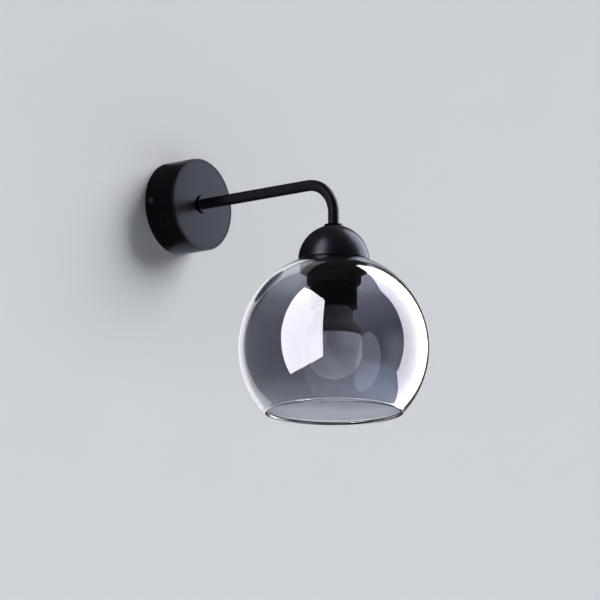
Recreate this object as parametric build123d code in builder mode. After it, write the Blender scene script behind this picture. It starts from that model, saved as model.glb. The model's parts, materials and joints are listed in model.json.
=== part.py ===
"""Wall lamp: round canopy, bent tube arm, half-ball dome and an open glass globe round a screw-base bulb.

Millimetres. The origin is the centre of the canopy on the wall, +Z is up and the lamp stands out
from the wall towards -Y. The arm leaves the canopy on the Y axis and turns down at the lamp axis,
the vertical line through (0, -arm_reach).
"""

import os
from math import asin, cos, sin, sqrt

from build123d import *

os.makedirs("parts", exist_ok=True)

# Canopy and wall bracket
canopy_d = 80.0
canopy_depth = 31.0
canopy_wall = 1.2
canopy_edge_r = 2.0
strap_t = 1.5
strap_w = 16.0
strap_bend_r = 1.0
tab_h = 13.0
tab_gap = 0.3
plate_w = 21.0
plate_edge = 7.0
plate_corner_r = 3.0
cable_hole_d = 10.0
wall_slot_spacing = 48.0
wall_slot_len = 12.0
wall_slot_w = 4.6
side_screw_d = 3.0
side_screw_head_d = 5.6
side_screw_head_t = 2.0
side_screw_from_wall = 7.0
screw_tail = 1.5
screw_slot_w = 0.8
screw_slot_t = 0.8

# Two-pole terminal block and earth point on the bracket
block_w = 19.0
block_len = 20.0
block_h = 9.0
block_centre_z = -20.0
tower_d = 6.4
tower_h = 3.0
pole_spacing = 10.0
sleeve_d = 5.0
sleeve_bore = 3.2
sleeve_len = 18.0
clamp_screw_d = 2.6
clamp_screw_pitch = 10.0
clamp_screw_sink = 0.5
fix_screw_d = 3.0
fix_screw_head_d = 5.4
earth_loop_room = 3.5
earth_screw_d = 4.0
earth_head_d = 7.5
earth_head_t = 2.6
cup_washer_d = 9.0
cup_washer_t = 0.8
tag_ring_w = 3.0
tag_t = 0.8
tag_tail_w = 4.0
tag_tail_len = 3.0
tag_barrel_len = 5.0
tag_barrel_wall = 0.6

# Arm
arm_reach = 174.5
tube_d = 9.5
tube_bore = 6.5
tube_bend_r = 28.0
arm_thread_d = 8.0
arm_thread_spare = 2.0
collar_d = 16.0
collar_t = 2.0
washer_d = 14.0
washer_t = 0.6
washer_teeth = 10
washer_notch = 1.6
nut_af = 13.0
nut_t = 3.0

# Dome
dome_r = 30.0
dome_wall = 1.0
dome_rim_drop = 68.4
dome_seat_d = 17.0

# Glass globe
glass_d = 160.0
glass_wall = 3.2
glass_hole_d = 42.6
glass_mouth_d = 114.0
glass_bead_d = 4.0
glass_seat_gap = 0.3

# Shade ring on the lampholder's outer thread, nominal size 40 x 2.5
shade_thread_d = 40.0
shade_ring_d = 58.0
ring_edge_t = 5.2
ring_under_t = 2.7
ring_hub_d = 45.0
ring_h = 16.4
ring_lip = 0.7
ring_ribs = 12
ring_rib_r = 0.9

# Lampholder
hub_d = 14.0
hub_len = 7.0
cap_d = 38.0
cap_shoulder_h = 6.0
cap_len = 18.0
cap_spigot_d = 35.2
cap_spigot_len = 8.0
cap_wall = 1.6
grub_d = 3.0
grub_socket_d = 1.5
skirt_len = 47.2
skirt_bore = 30.4
skirt_chamfer = 0.6
insert_flange_t = 3.0
insert_boss_d = 24.0
insert_boss_h = 6.0
shell_bore = 27.0
shell_t = 0.5
shell_len = 26.8
shell_hole_d = 18.0
leaf_t = 0.5
leaf_w = 5.0
leaf_back = 7.5
leaf_front = 3.5
leaf_tip = 2.5
leaf_drop = 5.5
post_x = 8.0
post_w = 6.0
post_depth = 7.0
post_h = 8.0
post_bore = 2.8
post_bore_depth = 6.0
pin_d = 2.6
live_pin_x = 6.5
neutral_pin_x = 9.6
post_screw_d = 2.5
post_screw_head_d = 4.4
post_screw_head_t = 1.5
post_screw_rise = 3.0

# Wires
wire_d = 2.2
wire_gap = 0.3
wire_bend_r = 6.0
wire_fan_r = 4.0
wire_end = 6.0

# Bulb with a 27 mm screw base
tip_gap = 0.3
tip_d = 9.0
tip_h = 1.5
glaze_h = 3.5
glaze_top_d = 11.0
glaze_d = 24.0
base_d = 26.2
base_wall = 0.4
base_len = 18.5
base_lip = 1.0
plug_len = 12.0
plug_wall = 1.6
shoulder_h = 4.0
neck_d = 32.4
neck_len = 4.5
flare_h = 14.0
bulb_collar_d = 46.8
bulb_collar_h = 2.5
collar_groove = 0.3
bulb_wall = 1.8
ball_d = 47.8
ball_side_h = 12.6
opal_t = 1.2
led_board_d = 41.0
led_board_t = 1.6
led_ledge = 1.5
led_count = 8
led_ring_d = 24.0
led_size = 3.0
led_t = 0.7
driver_w = 18.0
driver_h = 18.0
driver_t = 1.2

# Clearances
hole_clear = 0.3
thread_clear = 0.1
body_clear = 0.3

# Levels along the arm, measured out from the wall
canopy_r = canopy_d / 2
canopy_ri = canopy_r - canopy_wall
canopy_inside = canopy_depth - canopy_wall
arm_shoulder = canopy_depth + collar_t
tag_out = canopy_inside - tag_t
washer_out = tag_out - washer_t
nut_out = washer_out - nut_t
arm_end_out = nut_out - arm_thread_spare
tab_x = sqrt(canopy_ri**2 - (strap_w / 2) ** 2) - tab_gap
arm_hole_d = arm_thread_d + 2 * thread_clear

# Levels down the lamp axis
dome_ri = dome_r - dome_wall
dome_rim_z = -dome_rim_drop
dome_top_z = dome_rim_z + sqrt(dome_r**2 - (dome_seat_d / 2) ** 2)
dome_inside_z = dome_top_z - dome_wall
shoulder_z = dome_top_z + collar_t
dome_washer_z = dome_inside_z - washer_t
holder_z = dome_washer_z - nut_t
arm_foot_z = holder_z - hub_len - arm_thread_spare / 2
cap_edge_z = holder_z - cap_len
spigot_z = cap_edge_z - cap_spigot_len
ledge_z = spigot_z - insert_flange_t
boss_z = ledge_z - insert_boss_h
skirt_z = cap_edge_z - skirt_len
leaf_z = boss_z - leaf_drop
tip_z = leaf_z - tip_gap
glaze_z = tip_z - tip_h
base_z = glaze_z - glaze_h
neck_top_z = base_z - base_len
neck_z = neck_top_z - shoulder_h
flare_z = neck_z - neck_len
bulb_collar_z = flare_z - flare_h
opal_z = bulb_collar_z - bulb_collar_h
ball_z = opal_z - ball_side_h

# Glass globe: centred so that its top rests under the dome's rim
glass_ro = glass_d / 2
glass_ri = glass_ro - glass_wall
glass_rm = glass_ro - glass_wall / 2
glass_z = dome_rim_z - glass_seat_gap - sqrt(glass_ro**2 - dome_ri**2)
hole_angle = asin((glass_hole_d / 2 + glass_wall / 2) / glass_rm)
lip_angle = hole_angle - glass_wall / 2 / glass_rm
mouth_angle = asin((glass_mouth_d / 2) / glass_rm)

# Shade ring: its sloping seat follows the inside of the globe
ring_r = shade_ring_d / 2
ring_hub_r = ring_hub_d / 2
ring_bore_r = shade_thread_d / 2 + body_clear
ring_top_z = glass_z + sqrt(glass_ri**2 - ring_hub_r**2) - body_clear
ring_edge_z = glass_z + sqrt(glass_ri**2 - ring_r**2) - body_clear
ring_under_z = ring_edge_z - ring_edge_t
ring_foot_z = ring_edge_z - ring_h

# Earth point: its wire loops up to just below the inside of the canopy
bracket_tag_r = earth_screw_d / 2 + thread_clear + tag_ring_w
earth_loop_z = canopy_ri - earth_loop_room - wire_d / 2
bracket_barrel_z = earth_loop_z - wire_d / 2 - wire_bend_r - tag_barrel_len
earth_z = bracket_barrel_z - tag_tail_len - bracket_tag_r

lamp_axis = Axis((0, -arm_reach, 0), (0, 0, 1))
lamp_section = Plane.XZ.offset(arm_reach)
block_seat = strap_t
sleeve_out = block_seat + block_h / 2
plate_top = earth_z + plate_edge
plate_foot = block_centre_z - block_len / 2 - plate_edge / 4
tag_barrel_d = wire_d + 2 * thread_clear + 2 * tag_barrel_wall
wire_x = (wire_d + wire_gap) / 2


def out_from_wall(distance):
    """Plane parallel to the wall, facing the room."""
    return Plane.XZ.offset(distance)


def on_lamp_axis(z):
    """Level plane on the lamp axis."""
    return Plane(origin=(0, -arm_reach, z))


# Wall bracket: a bent strap with two tapped tabs, on a centre plate
with BuildPart() as wall_bracket:
    with BuildSketch() as strap_side:
        with BuildLine():
            Polyline(
                (tab_x, 0),
                (tab_x, -tab_h),
                (tab_x - strap_t, -tab_h),
                (tab_x - strap_t, -strap_t),
                (strap_t - tab_x, -strap_t),
                (strap_t - tab_x, -tab_h),
                (-tab_x, -tab_h),
                (-tab_x, 0),
                close=True,
            )
        make_face()
        fillet(strap_side.vertices().group_by(Axis.Y)[1], strap_bend_r)
        fillet(strap_side.vertices().group_by(Axis.Y)[-1], strap_bend_r + strap_t)
    extrude(amount=strap_w / 2, both=True)
    with BuildSketch(out_from_wall(0)):
        with Locations((0, (plate_top + plate_foot) / 2)):
            RectangleRounded(plate_w, plate_top - plate_foot, plate_corner_r)
    extrude(amount=strap_t)
    with BuildSketch(out_from_wall(0)):
        Circle(cable_hole_d / 2)
        with GridLocations(wall_slot_spacing, 0, 2, 1):
            SlotOverall(wall_slot_len, wall_slot_w)
        with Locations((0, earth_z)):
            Circle(earth_screw_d / 2 + thread_clear)
        with Locations((0, block_centre_z)):
            Circle(fix_screw_d / 2 + thread_clear)
    extrude(amount=strap_t, mode=Mode.SUBTRACT)
    with BuildSketch(Plane.YZ):
        with Locations((-side_screw_from_wall, 0)):
            Circle(side_screw_d / 2 + thread_clear)
    extrude(amount=canopy_r, both=True, mode=Mode.SUBTRACT)
wall_bracket.part.label = "wall_bracket"
export_step(wall_bracket.part, "parts/wall_bracket.step")

# Canopy: deep drawn cup, open towards the wall
with BuildPart() as canopy_cup:
    with BuildSketch() as cup_half:
        with BuildLine():
            Polyline(
                (canopy_r, 0),
                (canopy_r, -canopy_depth),
                (arm_hole_d / 2, -canopy_depth),
                (arm_hole_d / 2, -canopy_inside),
                (canopy_ri, -canopy_inside),
                (canopy_ri, 0),
                close=True,
            )
        make_face()
    revolve(axis=Axis.Y)
    front = canopy_cup.edges().filter_by(GeomType.CIRCLE).group_by(Axis.Y)[0].sort_by(SortBy.RADIUS)[-1]
    fillet(front, canopy_edge_r)
    inner = canopy_cup.edges().filter_by(GeomType.CIRCLE).filter_by_position(
        Axis.Y, -canopy_inside - thread_clear, -canopy_inside + thread_clear
    )
    fillet(inner.sort_by(SortBy.RADIUS)[-1], canopy_edge_r - canopy_wall)
    with BuildSketch(Plane.YZ):
        with Locations((-side_screw_from_wall, 0)):
            Circle(side_screw_d / 2 + hole_clear)
    extrude(amount=canopy_d, both=True, mode=Mode.SUBTRACT)
canopy_cup.part.label = "canopy_cup"
export_step(canopy_cup.part, "parts/canopy_cup.step")

# Side screws: slotted pan heads that pull the cup onto the bracket tabs
screw_foot_x = tab_x - strap_t - screw_tail
with BuildPart() as canopy_screws:
    with BuildSketch(Plane.YZ.offset(screw_foot_x)):
        with Locations((-side_screw_from_wall, 0)):
            Circle(side_screw_d / 2)
    extrude(amount=canopy_r - screw_foot_x)
    with BuildSketch(Plane.YZ.offset(canopy_r)):
        with Locations((-side_screw_from_wall, 0)):
            Circle(side_screw_head_d / 2)
    extrude(amount=side_screw_head_t)
    fillet(
        canopy_screws.edges().filter_by(GeomType.CIRCLE).sort_by(Axis.X)[-1],
        side_screw_head_t - screw_slot_t,
    )
    with BuildSketch(Plane.YZ.offset(canopy_r + side_screw_head_t)):
        with Locations((-side_screw_from_wall, 0)):
            Rectangle(screw_slot_w, side_screw_head_d)
    extrude(amount=-screw_slot_t, mode=Mode.SUBTRACT)
    mirror(about=Plane.YZ)
canopy_screws.part.label = "canopy_screws"
export_step(canopy_screws.part, "parts/canopy_screws.step")

# Terminal block: moulded base with a screw tower over each clamp
with BuildPart() as terminal_block:
    with BuildSketch(out_from_wall(block_seat)):
        with Locations((0, block_centre_z)):
            RectangleRounded(block_w, block_len, plate_corner_r / 2)
    extrude(amount=block_h)
    with BuildSketch(out_from_wall(block_seat + block_h)):
        with Locations((0, block_centre_z)):
            with GridLocations(pole_spacing, clamp_screw_pitch, 2, 2):
                Circle(tower_d / 2)
    extrude(amount=tower_h)
    with BuildSketch(out_from_wall(sleeve_out)):
        with Locations((0, block_centre_z)):
            with GridLocations(pole_spacing, clamp_screw_pitch, 2, 2):
                Circle(clamp_screw_d / 2 + hole_clear)
    extrude(amount=block_h + tower_h, mode=Mode.SUBTRACT)
    with BuildSketch(Plane.XY.offset(block_centre_z)):
        with Locations((0, -sleeve_out)):
            with GridLocations(pole_spacing, 0, 2, 1):
                Circle(sleeve_d / 2 + thread_clear)
    extrude(amount=block_len, both=True, mode=Mode.SUBTRACT)
    with BuildSketch(out_from_wall(block_seat)):
        with Locations((0, block_centre_z)):
            Circle(fix_screw_d / 2 + thread_clear)
    extrude(amount=block_h, mode=Mode.SUBTRACT)
terminal_block.part.label = "terminal_block"
export_step(terminal_block.part, "parts/terminal_block.step")

# Brass clamp sleeves, one for each pole
with BuildPart() as terminal_sleeves:
    with BuildSketch(Plane.XY.offset(block_centre_z)):
        with Locations((0, -sleeve_out)):
            with GridLocations(pole_spacing, 0, 2, 1):
                Circle(sleeve_d / 2)
                Circle(sleeve_bore / 2, mode=Mode.SUBTRACT)
    extrude(amount=sleeve_len / 2, both=True)
    with BuildSketch(out_from_wall(sleeve_out)):
        with Locations((0, block_centre_z)):
            with GridLocations(pole_spacing, clamp_screw_pitch, 2, 2):
                Circle(clamp_screw_d / 2 + thread_clear)
    extrude(amount=sleeve_d, mode=Mode.SUBTRACT)
terminal_sleeves.part.label = "terminal_sleeves"
export_step(terminal_sleeves.part, "parts/terminal_sleeves.step")

# Clamp screws down the towers, with their tips on the wires
clamp_tip_out = sleeve_out + wire_d / 2 + thread_clear
clamp_head_out = block_seat + block_h + tower_h - clamp_screw_sink
with BuildPart() as terminal_screws:
    with BuildSketch(out_from_wall(clamp_tip_out)):
        with Locations((0, block_centre_z)):
            with GridLocations(pole_spacing, clamp_screw_pitch, 2, 2):
                Circle(clamp_screw_d / 2)
    extrude(amount=clamp_head_out - clamp_tip_out)
    with BuildSketch(out_from_wall(clamp_head_out)):
        with Locations((0, block_centre_z)):
            with GridLocations(pole_spacing, clamp_screw_pitch, 2, 2):
                Rectangle(clamp_screw_d, screw_slot_w)
    extrude(amount=-screw_slot_t, mode=Mode.SUBTRACT)
terminal_screws.part.label = "terminal_screws"
export_step(terminal_screws.part, "parts/terminal_screws.step")

# Screw that fixes the block to the centre plate
with BuildPart() as block_screw:
    with BuildSketch(out_from_wall(0)):
        with Locations((0, block_centre_z)):
            Circle(fix_screw_d / 2)
    extrude(amount=block_seat + block_h)
    with BuildSketch(out_from_wall(block_seat + block_h)):
        with Locations((0, block_centre_z)):
            Circle(fix_screw_head_d / 2)
    extrude(amount=side_screw_head_t)
    with BuildSketch(out_from_wall(block_seat + block_h + side_screw_head_t)):
        with Locations((0, block_centre_z)):
            Rectangle(fix_screw_head_d, screw_slot_w)
    extrude(amount=-screw_slot_t, mode=Mode.SUBTRACT)
block_screw.part.label = "block_screw"
export_step(block_screw.part, "parts/block_screw.step")

# Earth ring tag on the bracket, its crimp barrel above the plate
bracket_barrel_out = strap_t + tag_barrel_d / 2
with BuildPart() as earth_tag_bracket:
    with BuildSketch(out_from_wall(strap_t)):
        with Locations((0, earth_z)):
            Circle(bracket_tag_r)
            Rectangle(tag_tail_w, bracket_tag_r + tag_tail_len, align=(Align.CENTER, Align.MIN))
            Circle(earth_screw_d / 2 + thread_clear, mode=Mode.SUBTRACT)
    extrude(amount=tag_t)
    with BuildSketch(Plane.XY.offset(bracket_barrel_z)):
        with Locations((0, -bracket_barrel_out)):
            Circle(tag_barrel_d / 2)
    extrude(amount=tag_barrel_len)
    with BuildSketch(Plane.XY.offset(bracket_barrel_z + tag_barrel_len)):
        with Locations((0, -bracket_barrel_out)):
            Circle(wire_d / 2 + thread_clear)
    extrude(amount=-tag_barrel_len, mode=Mode.SUBTRACT)
earth_tag_bracket.part.label = "earth_tag_bracket"
export_step(earth_tag_bracket.part, "parts/earth_tag_bracket.step")

# Earth screw with its cup washer
earth_seat_out = strap_t + tag_t
with BuildPart() as earth_screw:
    with BuildSketch(out_from_wall(0)):
        with Locations((0, earth_z)):
            Circle(earth_screw_d / 2)
    extrude(amount=earth_seat_out)
    with BuildSketch(out_from_wall(earth_seat_out)):
        with Locations((0, earth_z)):
            Circle(cup_washer_d / 2)
    extrude(amount=cup_washer_t)
    with BuildSketch(out_from_wall(earth_seat_out + cup_washer_t)):
        with Locations((0, earth_z)):
            Circle(earth_head_d / 2)
    extrude(amount=earth_head_t)
    with BuildSketch(out_from_wall(earth_seat_out + cup_washer_t + earth_head_t)):
        with Locations((0, earth_z)):
            Rectangle(earth_head_d, screw_slot_w)
    extrude(amount=-screw_slot_t, mode=Mode.SUBTRACT)
earth_screw.part.label = "earth_screw"
export_step(earth_screw.part, "parts/earth_screw.step")

# Arm: bent tube, turned down at both ends for the threads
with BuildPart() as arm_tube:
    with BuildLine() as arm_line:
        FilletPolyline(
            (0, -arm_shoulder, 0),
            (0, -arm_reach, 0),
            (0, -arm_reach, shoulder_z),
            radius=tube_bend_r,
        )
    with BuildSketch(out_from_wall(arm_shoulder)):
        Circle(tube_d / 2)
    sweep(path=arm_line.line)
    with BuildSketch(out_from_wall(arm_end_out)):
        Circle(arm_thread_d / 2)
    extrude(amount=arm_shoulder - arm_end_out)
    with BuildSketch(on_lamp_axis(arm_foot_z)):
        Circle(arm_thread_d / 2)
    extrude(amount=shoulder_z - arm_foot_z)
    with BuildLine() as bore_line:
        FilletPolyline(
            (0, -arm_end_out, 0),
            (0, -arm_reach, 0),
            (0, -arm_reach, arm_foot_z),
            radius=tube_bend_r,
        )
    with BuildSketch(out_from_wall(arm_end_out)):
        Circle(tube_bore / 2)
    sweep(path=bore_line.line, mode=Mode.SUBTRACT)
arm_tube.part.label = "arm_tube"
export_step(arm_tube.part, "parts/arm_tube.step")

# Thin collars that cover the holes at both ends of the arm
collar_edge = collar_t / 5
with BuildPart() as canopy_collar:
    with BuildSketch(out_from_wall(canopy_depth)):
        Circle(collar_d / 2)
        Circle(arm_hole_d / 2, mode=Mode.SUBTRACT)
    extrude(amount=collar_t)
    room_edges = canopy_collar.edges().filter_by(GeomType.CIRCLE).group_by(Axis.Y)[0]
    fillet(room_edges.sort_by(SortBy.RADIUS)[-1], collar_edge)
canopy_collar.part.label = "canopy_collar"
export_step(canopy_collar.part, "parts/canopy_collar.step")

with BuildPart() as dome_collar:
    with BuildSketch(on_lamp_axis(dome_top_z)):
        Circle(collar_d / 2)
        Circle(arm_hole_d / 2, mode=Mode.SUBTRACT)
    extrude(amount=collar_t)
    top_edges = dome_collar.edges().filter_by(GeomType.CIRCLE).group_by(Axis.Z)[-1]
    fillet(top_edges.sort_by(SortBy.RADIUS)[-1], collar_edge)
dome_collar.part.label = "dome_collar"
export_step(dome_collar.part, "parts/dome_collar.step")

# Earth ring tag under the nut inside the canopy
arm_tag_r = arm_hole_d / 2 + tag_ring_w
arm_barrel_z = arm_tag_r + tag_tail_len
arm_barrel_out = canopy_inside - tag_barrel_d / 2
with BuildPart() as earth_tag_arm:
    with BuildSketch(out_from_wall(tag_out)):
        Circle(arm_tag_r)
        Rectangle(tag_tail_w, arm_barrel_z, align=(Align.CENTER, Align.MIN))
        Circle(arm_hole_d / 2, mode=Mode.SUBTRACT)
    extrude(amount=tag_t)
    with BuildSketch(Plane.XY.offset(arm_barrel_z)):
        with Locations((0, -arm_barrel_out)):
            Circle(tag_barrel_d / 2)
    extrude(amount=tag_barrel_len)
    with BuildSketch(Plane.XY.offset(arm_barrel_z + tag_barrel_len)):
        with Locations((0, -arm_barrel_out)):
            Circle(wire_d / 2 + thread_clear)
    extrude(amount=-tag_barrel_len, mode=Mode.SUBTRACT)
earth_tag_arm.part.label = "earth_tag_arm"
export_step(earth_tag_arm.part, "parts/earth_tag_arm.step")

# Toothed lock washers and hexagon nuts on the arm's threads
with BuildPart() as canopy_washer:
    with BuildSketch(out_from_wall(washer_out)):
        Circle(washer_d / 2)
        Circle(arm_hole_d / 2, mode=Mode.SUBTRACT)
        with PolarLocations(washer_d / 2, washer_teeth):
            Rectangle(washer_notch, washer_notch, mode=Mode.SUBTRACT)
    extrude(amount=washer_t)
canopy_washer.part.label = "canopy_washer"
export_step(canopy_washer.part, "parts/canopy_washer.step")

with BuildPart() as canopy_nut:
    with BuildSketch(out_from_wall(nut_out)):
        RegularPolygon(nut_af / 2, 6, major_radius=False)
        Circle(arm_hole_d / 2, mode=Mode.SUBTRACT)
    extrude(amount=nut_t)
canopy_nut.part.label = "canopy_nut"
export_step(canopy_nut.part, "parts/canopy_nut.step")

with BuildPart() as dome_washer:
    with BuildSketch(on_lamp_axis(dome_washer_z)):
        Circle(washer_d / 2)
        Circle(arm_hole_d / 2, mode=Mode.SUBTRACT)
        with PolarLocations(washer_d / 2, washer_teeth):
            Rectangle(washer_notch, washer_notch, mode=Mode.SUBTRACT)
    extrude(amount=washer_t)
dome_washer.part.label = "dome_washer"
export_step(dome_washer.part, "parts/dome_washer.step")

with BuildPart() as dome_nut:
    with BuildSketch(on_lamp_axis(holder_z)):
        RegularPolygon(nut_af / 2, 6, major_radius=False)
        Circle(arm_hole_d / 2, mode=Mode.SUBTRACT)
    extrude(amount=nut_t)
dome_nut.part.label = "dome_nut"
export_step(dome_nut.part, "parts/dome_nut.step")

# Dome: spun half ball with a flat seat for the collar
dome_seat_ri = sqrt(dome_ri**2 - (dome_inside_z - dome_rim_z) ** 2)
with BuildPart() as dome_cap:
    with BuildSketch(lamp_section):
        with BuildLine():
            Polyline(
                (dome_ri, dome_rim_z),
                (dome_r, dome_rim_z),
            )
            RadiusArc((dome_r, dome_rim_z), (dome_seat_d / 2, dome_top_z), -dome_r)
            Polyline(
                (dome_seat_d / 2, dome_top_z),
                (arm_hole_d / 2, dome_top_z),
                (arm_hole_d / 2, dome_inside_z),
                (dome_seat_ri, dome_inside_z),
            )
            RadiusArc((dome_seat_ri, dome_inside_z), (dome_ri, dome_rim_z), dome_ri)
        make_face()
    revolve(axis=lamp_axis)
dome_cap.part.label = "dome_cap"
export_step(dome_cap.part, "parts/dome_cap.step")

# Lampholder cap: threaded hub on the arm, sloping shoulder and a spigot for the skirt
cap_ri = cap_spigot_d / 2 - cap_wall
with BuildPart() as holder_cap:
    with BuildSketch(lamp_section):
        with BuildLine():
            Polyline(
                (arm_hole_d / 2, holder_z),
                (hub_d / 2, holder_z),
                (hub_d / 2, holder_z - hub_len),
                (cap_d / 2, holder_z - hub_len - cap_shoulder_h),
                (cap_d / 2, cap_edge_z),
                (cap_spigot_d / 2, cap_edge_z),
                (cap_spigot_d / 2, spigot_z),
                (cap_ri, spigot_z),
                (cap_ri, holder_z - hub_len - cap_shoulder_h - cap_wall),
                (arm_hole_d / 2, holder_z - hub_len - cap_wall),
                close=True,
            )
        make_face()
    revolve(axis=lamp_axis)
    with BuildSketch(lamp_section):
        with Locations((0, holder_z - hub_len / 2)):
            Circle(grub_d / 2 + thread_clear)
    extrude(amount=hub_d, mode=Mode.SUBTRACT)
holder_cap.part.label = "holder_cap"
export_step(holder_cap.part, "parts/holder_cap.step")

# Grub screw that stops the lampholder from turning on the arm
with BuildPart() as holder_grub_screw:
    with BuildSketch(Plane.XZ.offset(arm_reach + arm_thread_d / 2 + thread_clear)):
        with Locations((0, holder_z - hub_len / 2)):
            Circle(grub_d / 2)
    extrude(amount=(hub_d - arm_thread_d) / 2 - thread_clear)
    with BuildSketch(Plane.XZ.offset(arm_reach + hub_d / 2)):
        with Locations((0, holder_z - hub_len / 2)):
            RegularPolygon(grub_socket_d / 2, 6)
    extrude(amount=-grub_socket_d, mode=Mode.SUBTRACT)
holder_grub_screw.part.label = "holder_grub_screw"
export_step(holder_grub_screw.part, "parts/holder_grub_screw.step")

# Skirt: carries the outer thread for the shade ring, traps the insert on its ledge
skirt_r = shade_thread_d / 2
socket_r = cap_spigot_d / 2 + thread_clear
with BuildPart() as holder_skirt:
    with BuildSketch(lamp_section) as skirt_half:
        with BuildLine():
            Polyline(
                (socket_r, cap_edge_z),
                (skirt_r, cap_edge_z),
                (skirt_r, skirt_z + skirt_chamfer),
                (skirt_r - skirt_chamfer, skirt_z),
                (skirt_bore / 2, skirt_z),
                (skirt_bore / 2, ledge_z),
                (socket_r, ledge_z),
                close=True,
            )
        make_face()
    revolve(axis=lamp_axis)
holder_skirt.part.label = "holder_skirt"
export_step(holder_skirt.part, "parts/holder_skirt.step")

# Insert: flange between cap and skirt, boss for the contacts, holes for the two contact pins
with BuildPart() as holder_insert:
    with BuildSketch(on_lamp_axis(ledge_z)):
        Circle(cap_spigot_d / 2)
    extrude(amount=insert_flange_t)
    with BuildSketch(on_lamp_axis(boss_z)):
        Circle(insert_boss_d / 2)
    extrude(amount=insert_boss_h)
    with BuildSketch(on_lamp_axis(boss_z)):
        with Locations((-live_pin_x, 0), (neutral_pin_x, 0)):
            Circle(pin_d / 2 + thread_clear)
    extrude(amount=insert_boss_h + insert_flange_t, mode=Mode.SUBTRACT)
holder_insert.part.label = "holder_insert"
export_step(holder_insert.part, "parts/holder_insert.step")

# Terminal posts on the insert, each with a wire hole, a clamp screw hole and a pin through the insert
with BuildPart() as live_terminal:
    with BuildSketch(on_lamp_axis(spigot_z)):
        with Locations((-post_x, 0)):
            Rectangle(post_w, post_depth)
    extrude(amount=post_h)
    with BuildSketch(on_lamp_axis(boss_z)):
        with Locations((-live_pin_x, 0)):
            Circle(pin_d / 2)
    extrude(amount=spigot_z - boss_z)
    with BuildSketch(on_lamp_axis(spigot_z + post_h)):
        with Locations((-post_x, 0)):
            Circle(post_bore / 2)
    extrude(amount=-post_bore_depth, mode=Mode.SUBTRACT)
    with BuildSketch(Plane.YZ.offset(-post_x)):
        with Locations((-arm_reach, spigot_z + post_h - post_screw_rise)):
            Circle(post_screw_d / 2 + thread_clear)
    extrude(amount=-post_w, mode=Mode.SUBTRACT)
live_terminal.part.label = "live_terminal"
export_step(live_terminal.part, "parts/live_terminal.step")

with BuildPart() as neutral_terminal:
    with BuildSketch(on_lamp_axis(spigot_z)):
        with Locations((post_x, 0)):
            Rectangle(post_w, post_depth)
    extrude(amount=post_h)
    with BuildSketch(on_lamp_axis(boss_z)):
        with Locations((neutral_pin_x, 0)):
            Circle(pin_d / 2)
    extrude(amount=spigot_z - boss_z)
    with BuildSketch(on_lamp_axis(spigot_z + post_h)):
        with Locations((post_x, 0)):
            Circle(post_bore / 2)
    extrude(amount=-post_bore_depth, mode=Mode.SUBTRACT)
    with BuildSketch(Plane.YZ.offset(post_x)):
        with Locations((-arm_reach, spigot_z + post_h - post_screw_rise)):
            Circle(post_screw_d / 2 + thread_clear)
    extrude(amount=post_w, mode=Mode.SUBTRACT)
neutral_terminal.part.label = "neutral_terminal"
export_step(neutral_terminal.part, "parts/neutral_terminal.step")

# Clamp screws in the posts
post_tip_x = post_x + wire_d / 2 + thread_clear
post_face_x = post_x + post_w / 2
with BuildPart() as holder_terminal_screws:
    with BuildSketch(Plane.YZ.offset(post_tip_x)):
        with Locations((-arm_reach, spigot_z + post_h - post_screw_rise)):
            Circle(post_screw_d / 2)
    extrude(amount=post_face_x - post_tip_x)
    with BuildSketch(Plane.YZ.offset(post_face_x)):
        with Locations((-arm_reach, spigot_z + post_h - post_screw_rise)):
            Circle(post_screw_head_d / 2)
    extrude(amount=post_screw_head_t)
    with BuildSketch(Plane.YZ.offset(post_face_x + post_screw_head_t)):
        with Locations((-arm_reach, spigot_z + post_h - post_screw_rise)):
            Rectangle(post_screw_head_d, screw_slot_w)
    extrude(amount=-screw_slot_t, mode=Mode.SUBTRACT)
    mirror(about=Plane.YZ)
holder_terminal_screws.part.label = "holder_terminal_screws"
export_step(holder_terminal_screws.part, "parts/holder_terminal_screws.step")

# Centre contact: a leaf folded back under itself, its lower leg over the bulb's tip
leaf_top = boss_z - leaf_t / 2
leaf_foot = leaf_z + leaf_t / 2
with BuildPart() as centre_contact:
    with BuildSketch(lamp_section):
        with BuildLine():
            Line((-leaf_back, leaf_top), (leaf_front, leaf_top))
            RadiusArc((leaf_front, leaf_top), (leaf_front, leaf_foot), (leaf_top - leaf_foot) / 2)
            Line((leaf_front, leaf_foot), (-leaf_tip, leaf_foot))
        trace(line_width=leaf_t)
    extrude(amount=leaf_w / 2, both=True)
centre_contact.part.label = "centre_contact"
export_step(centre_contact.part, "parts/centre_contact.step")

# Screw shell under the insert
shell_r = shell_bore / 2 + shell_t
with BuildPart() as screw_shell:
    with BuildSketch(lamp_section):
        with BuildLine():
            Polyline(
                (shell_hole_d / 2, boss_z),
                (shell_r, boss_z),
                (shell_r, boss_z - shell_len),
                (shell_bore / 2, boss_z - shell_len),
                (shell_bore / 2, boss_z - shell_t),
                (shell_hole_d / 2, boss_z - shell_t),
                close=True,
            )
        make_face()
    revolve(axis=lamp_axis)
screw_shell.part.label = "screw_shell"
export_step(screw_shell.part, "parts/screw_shell.step")

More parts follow.
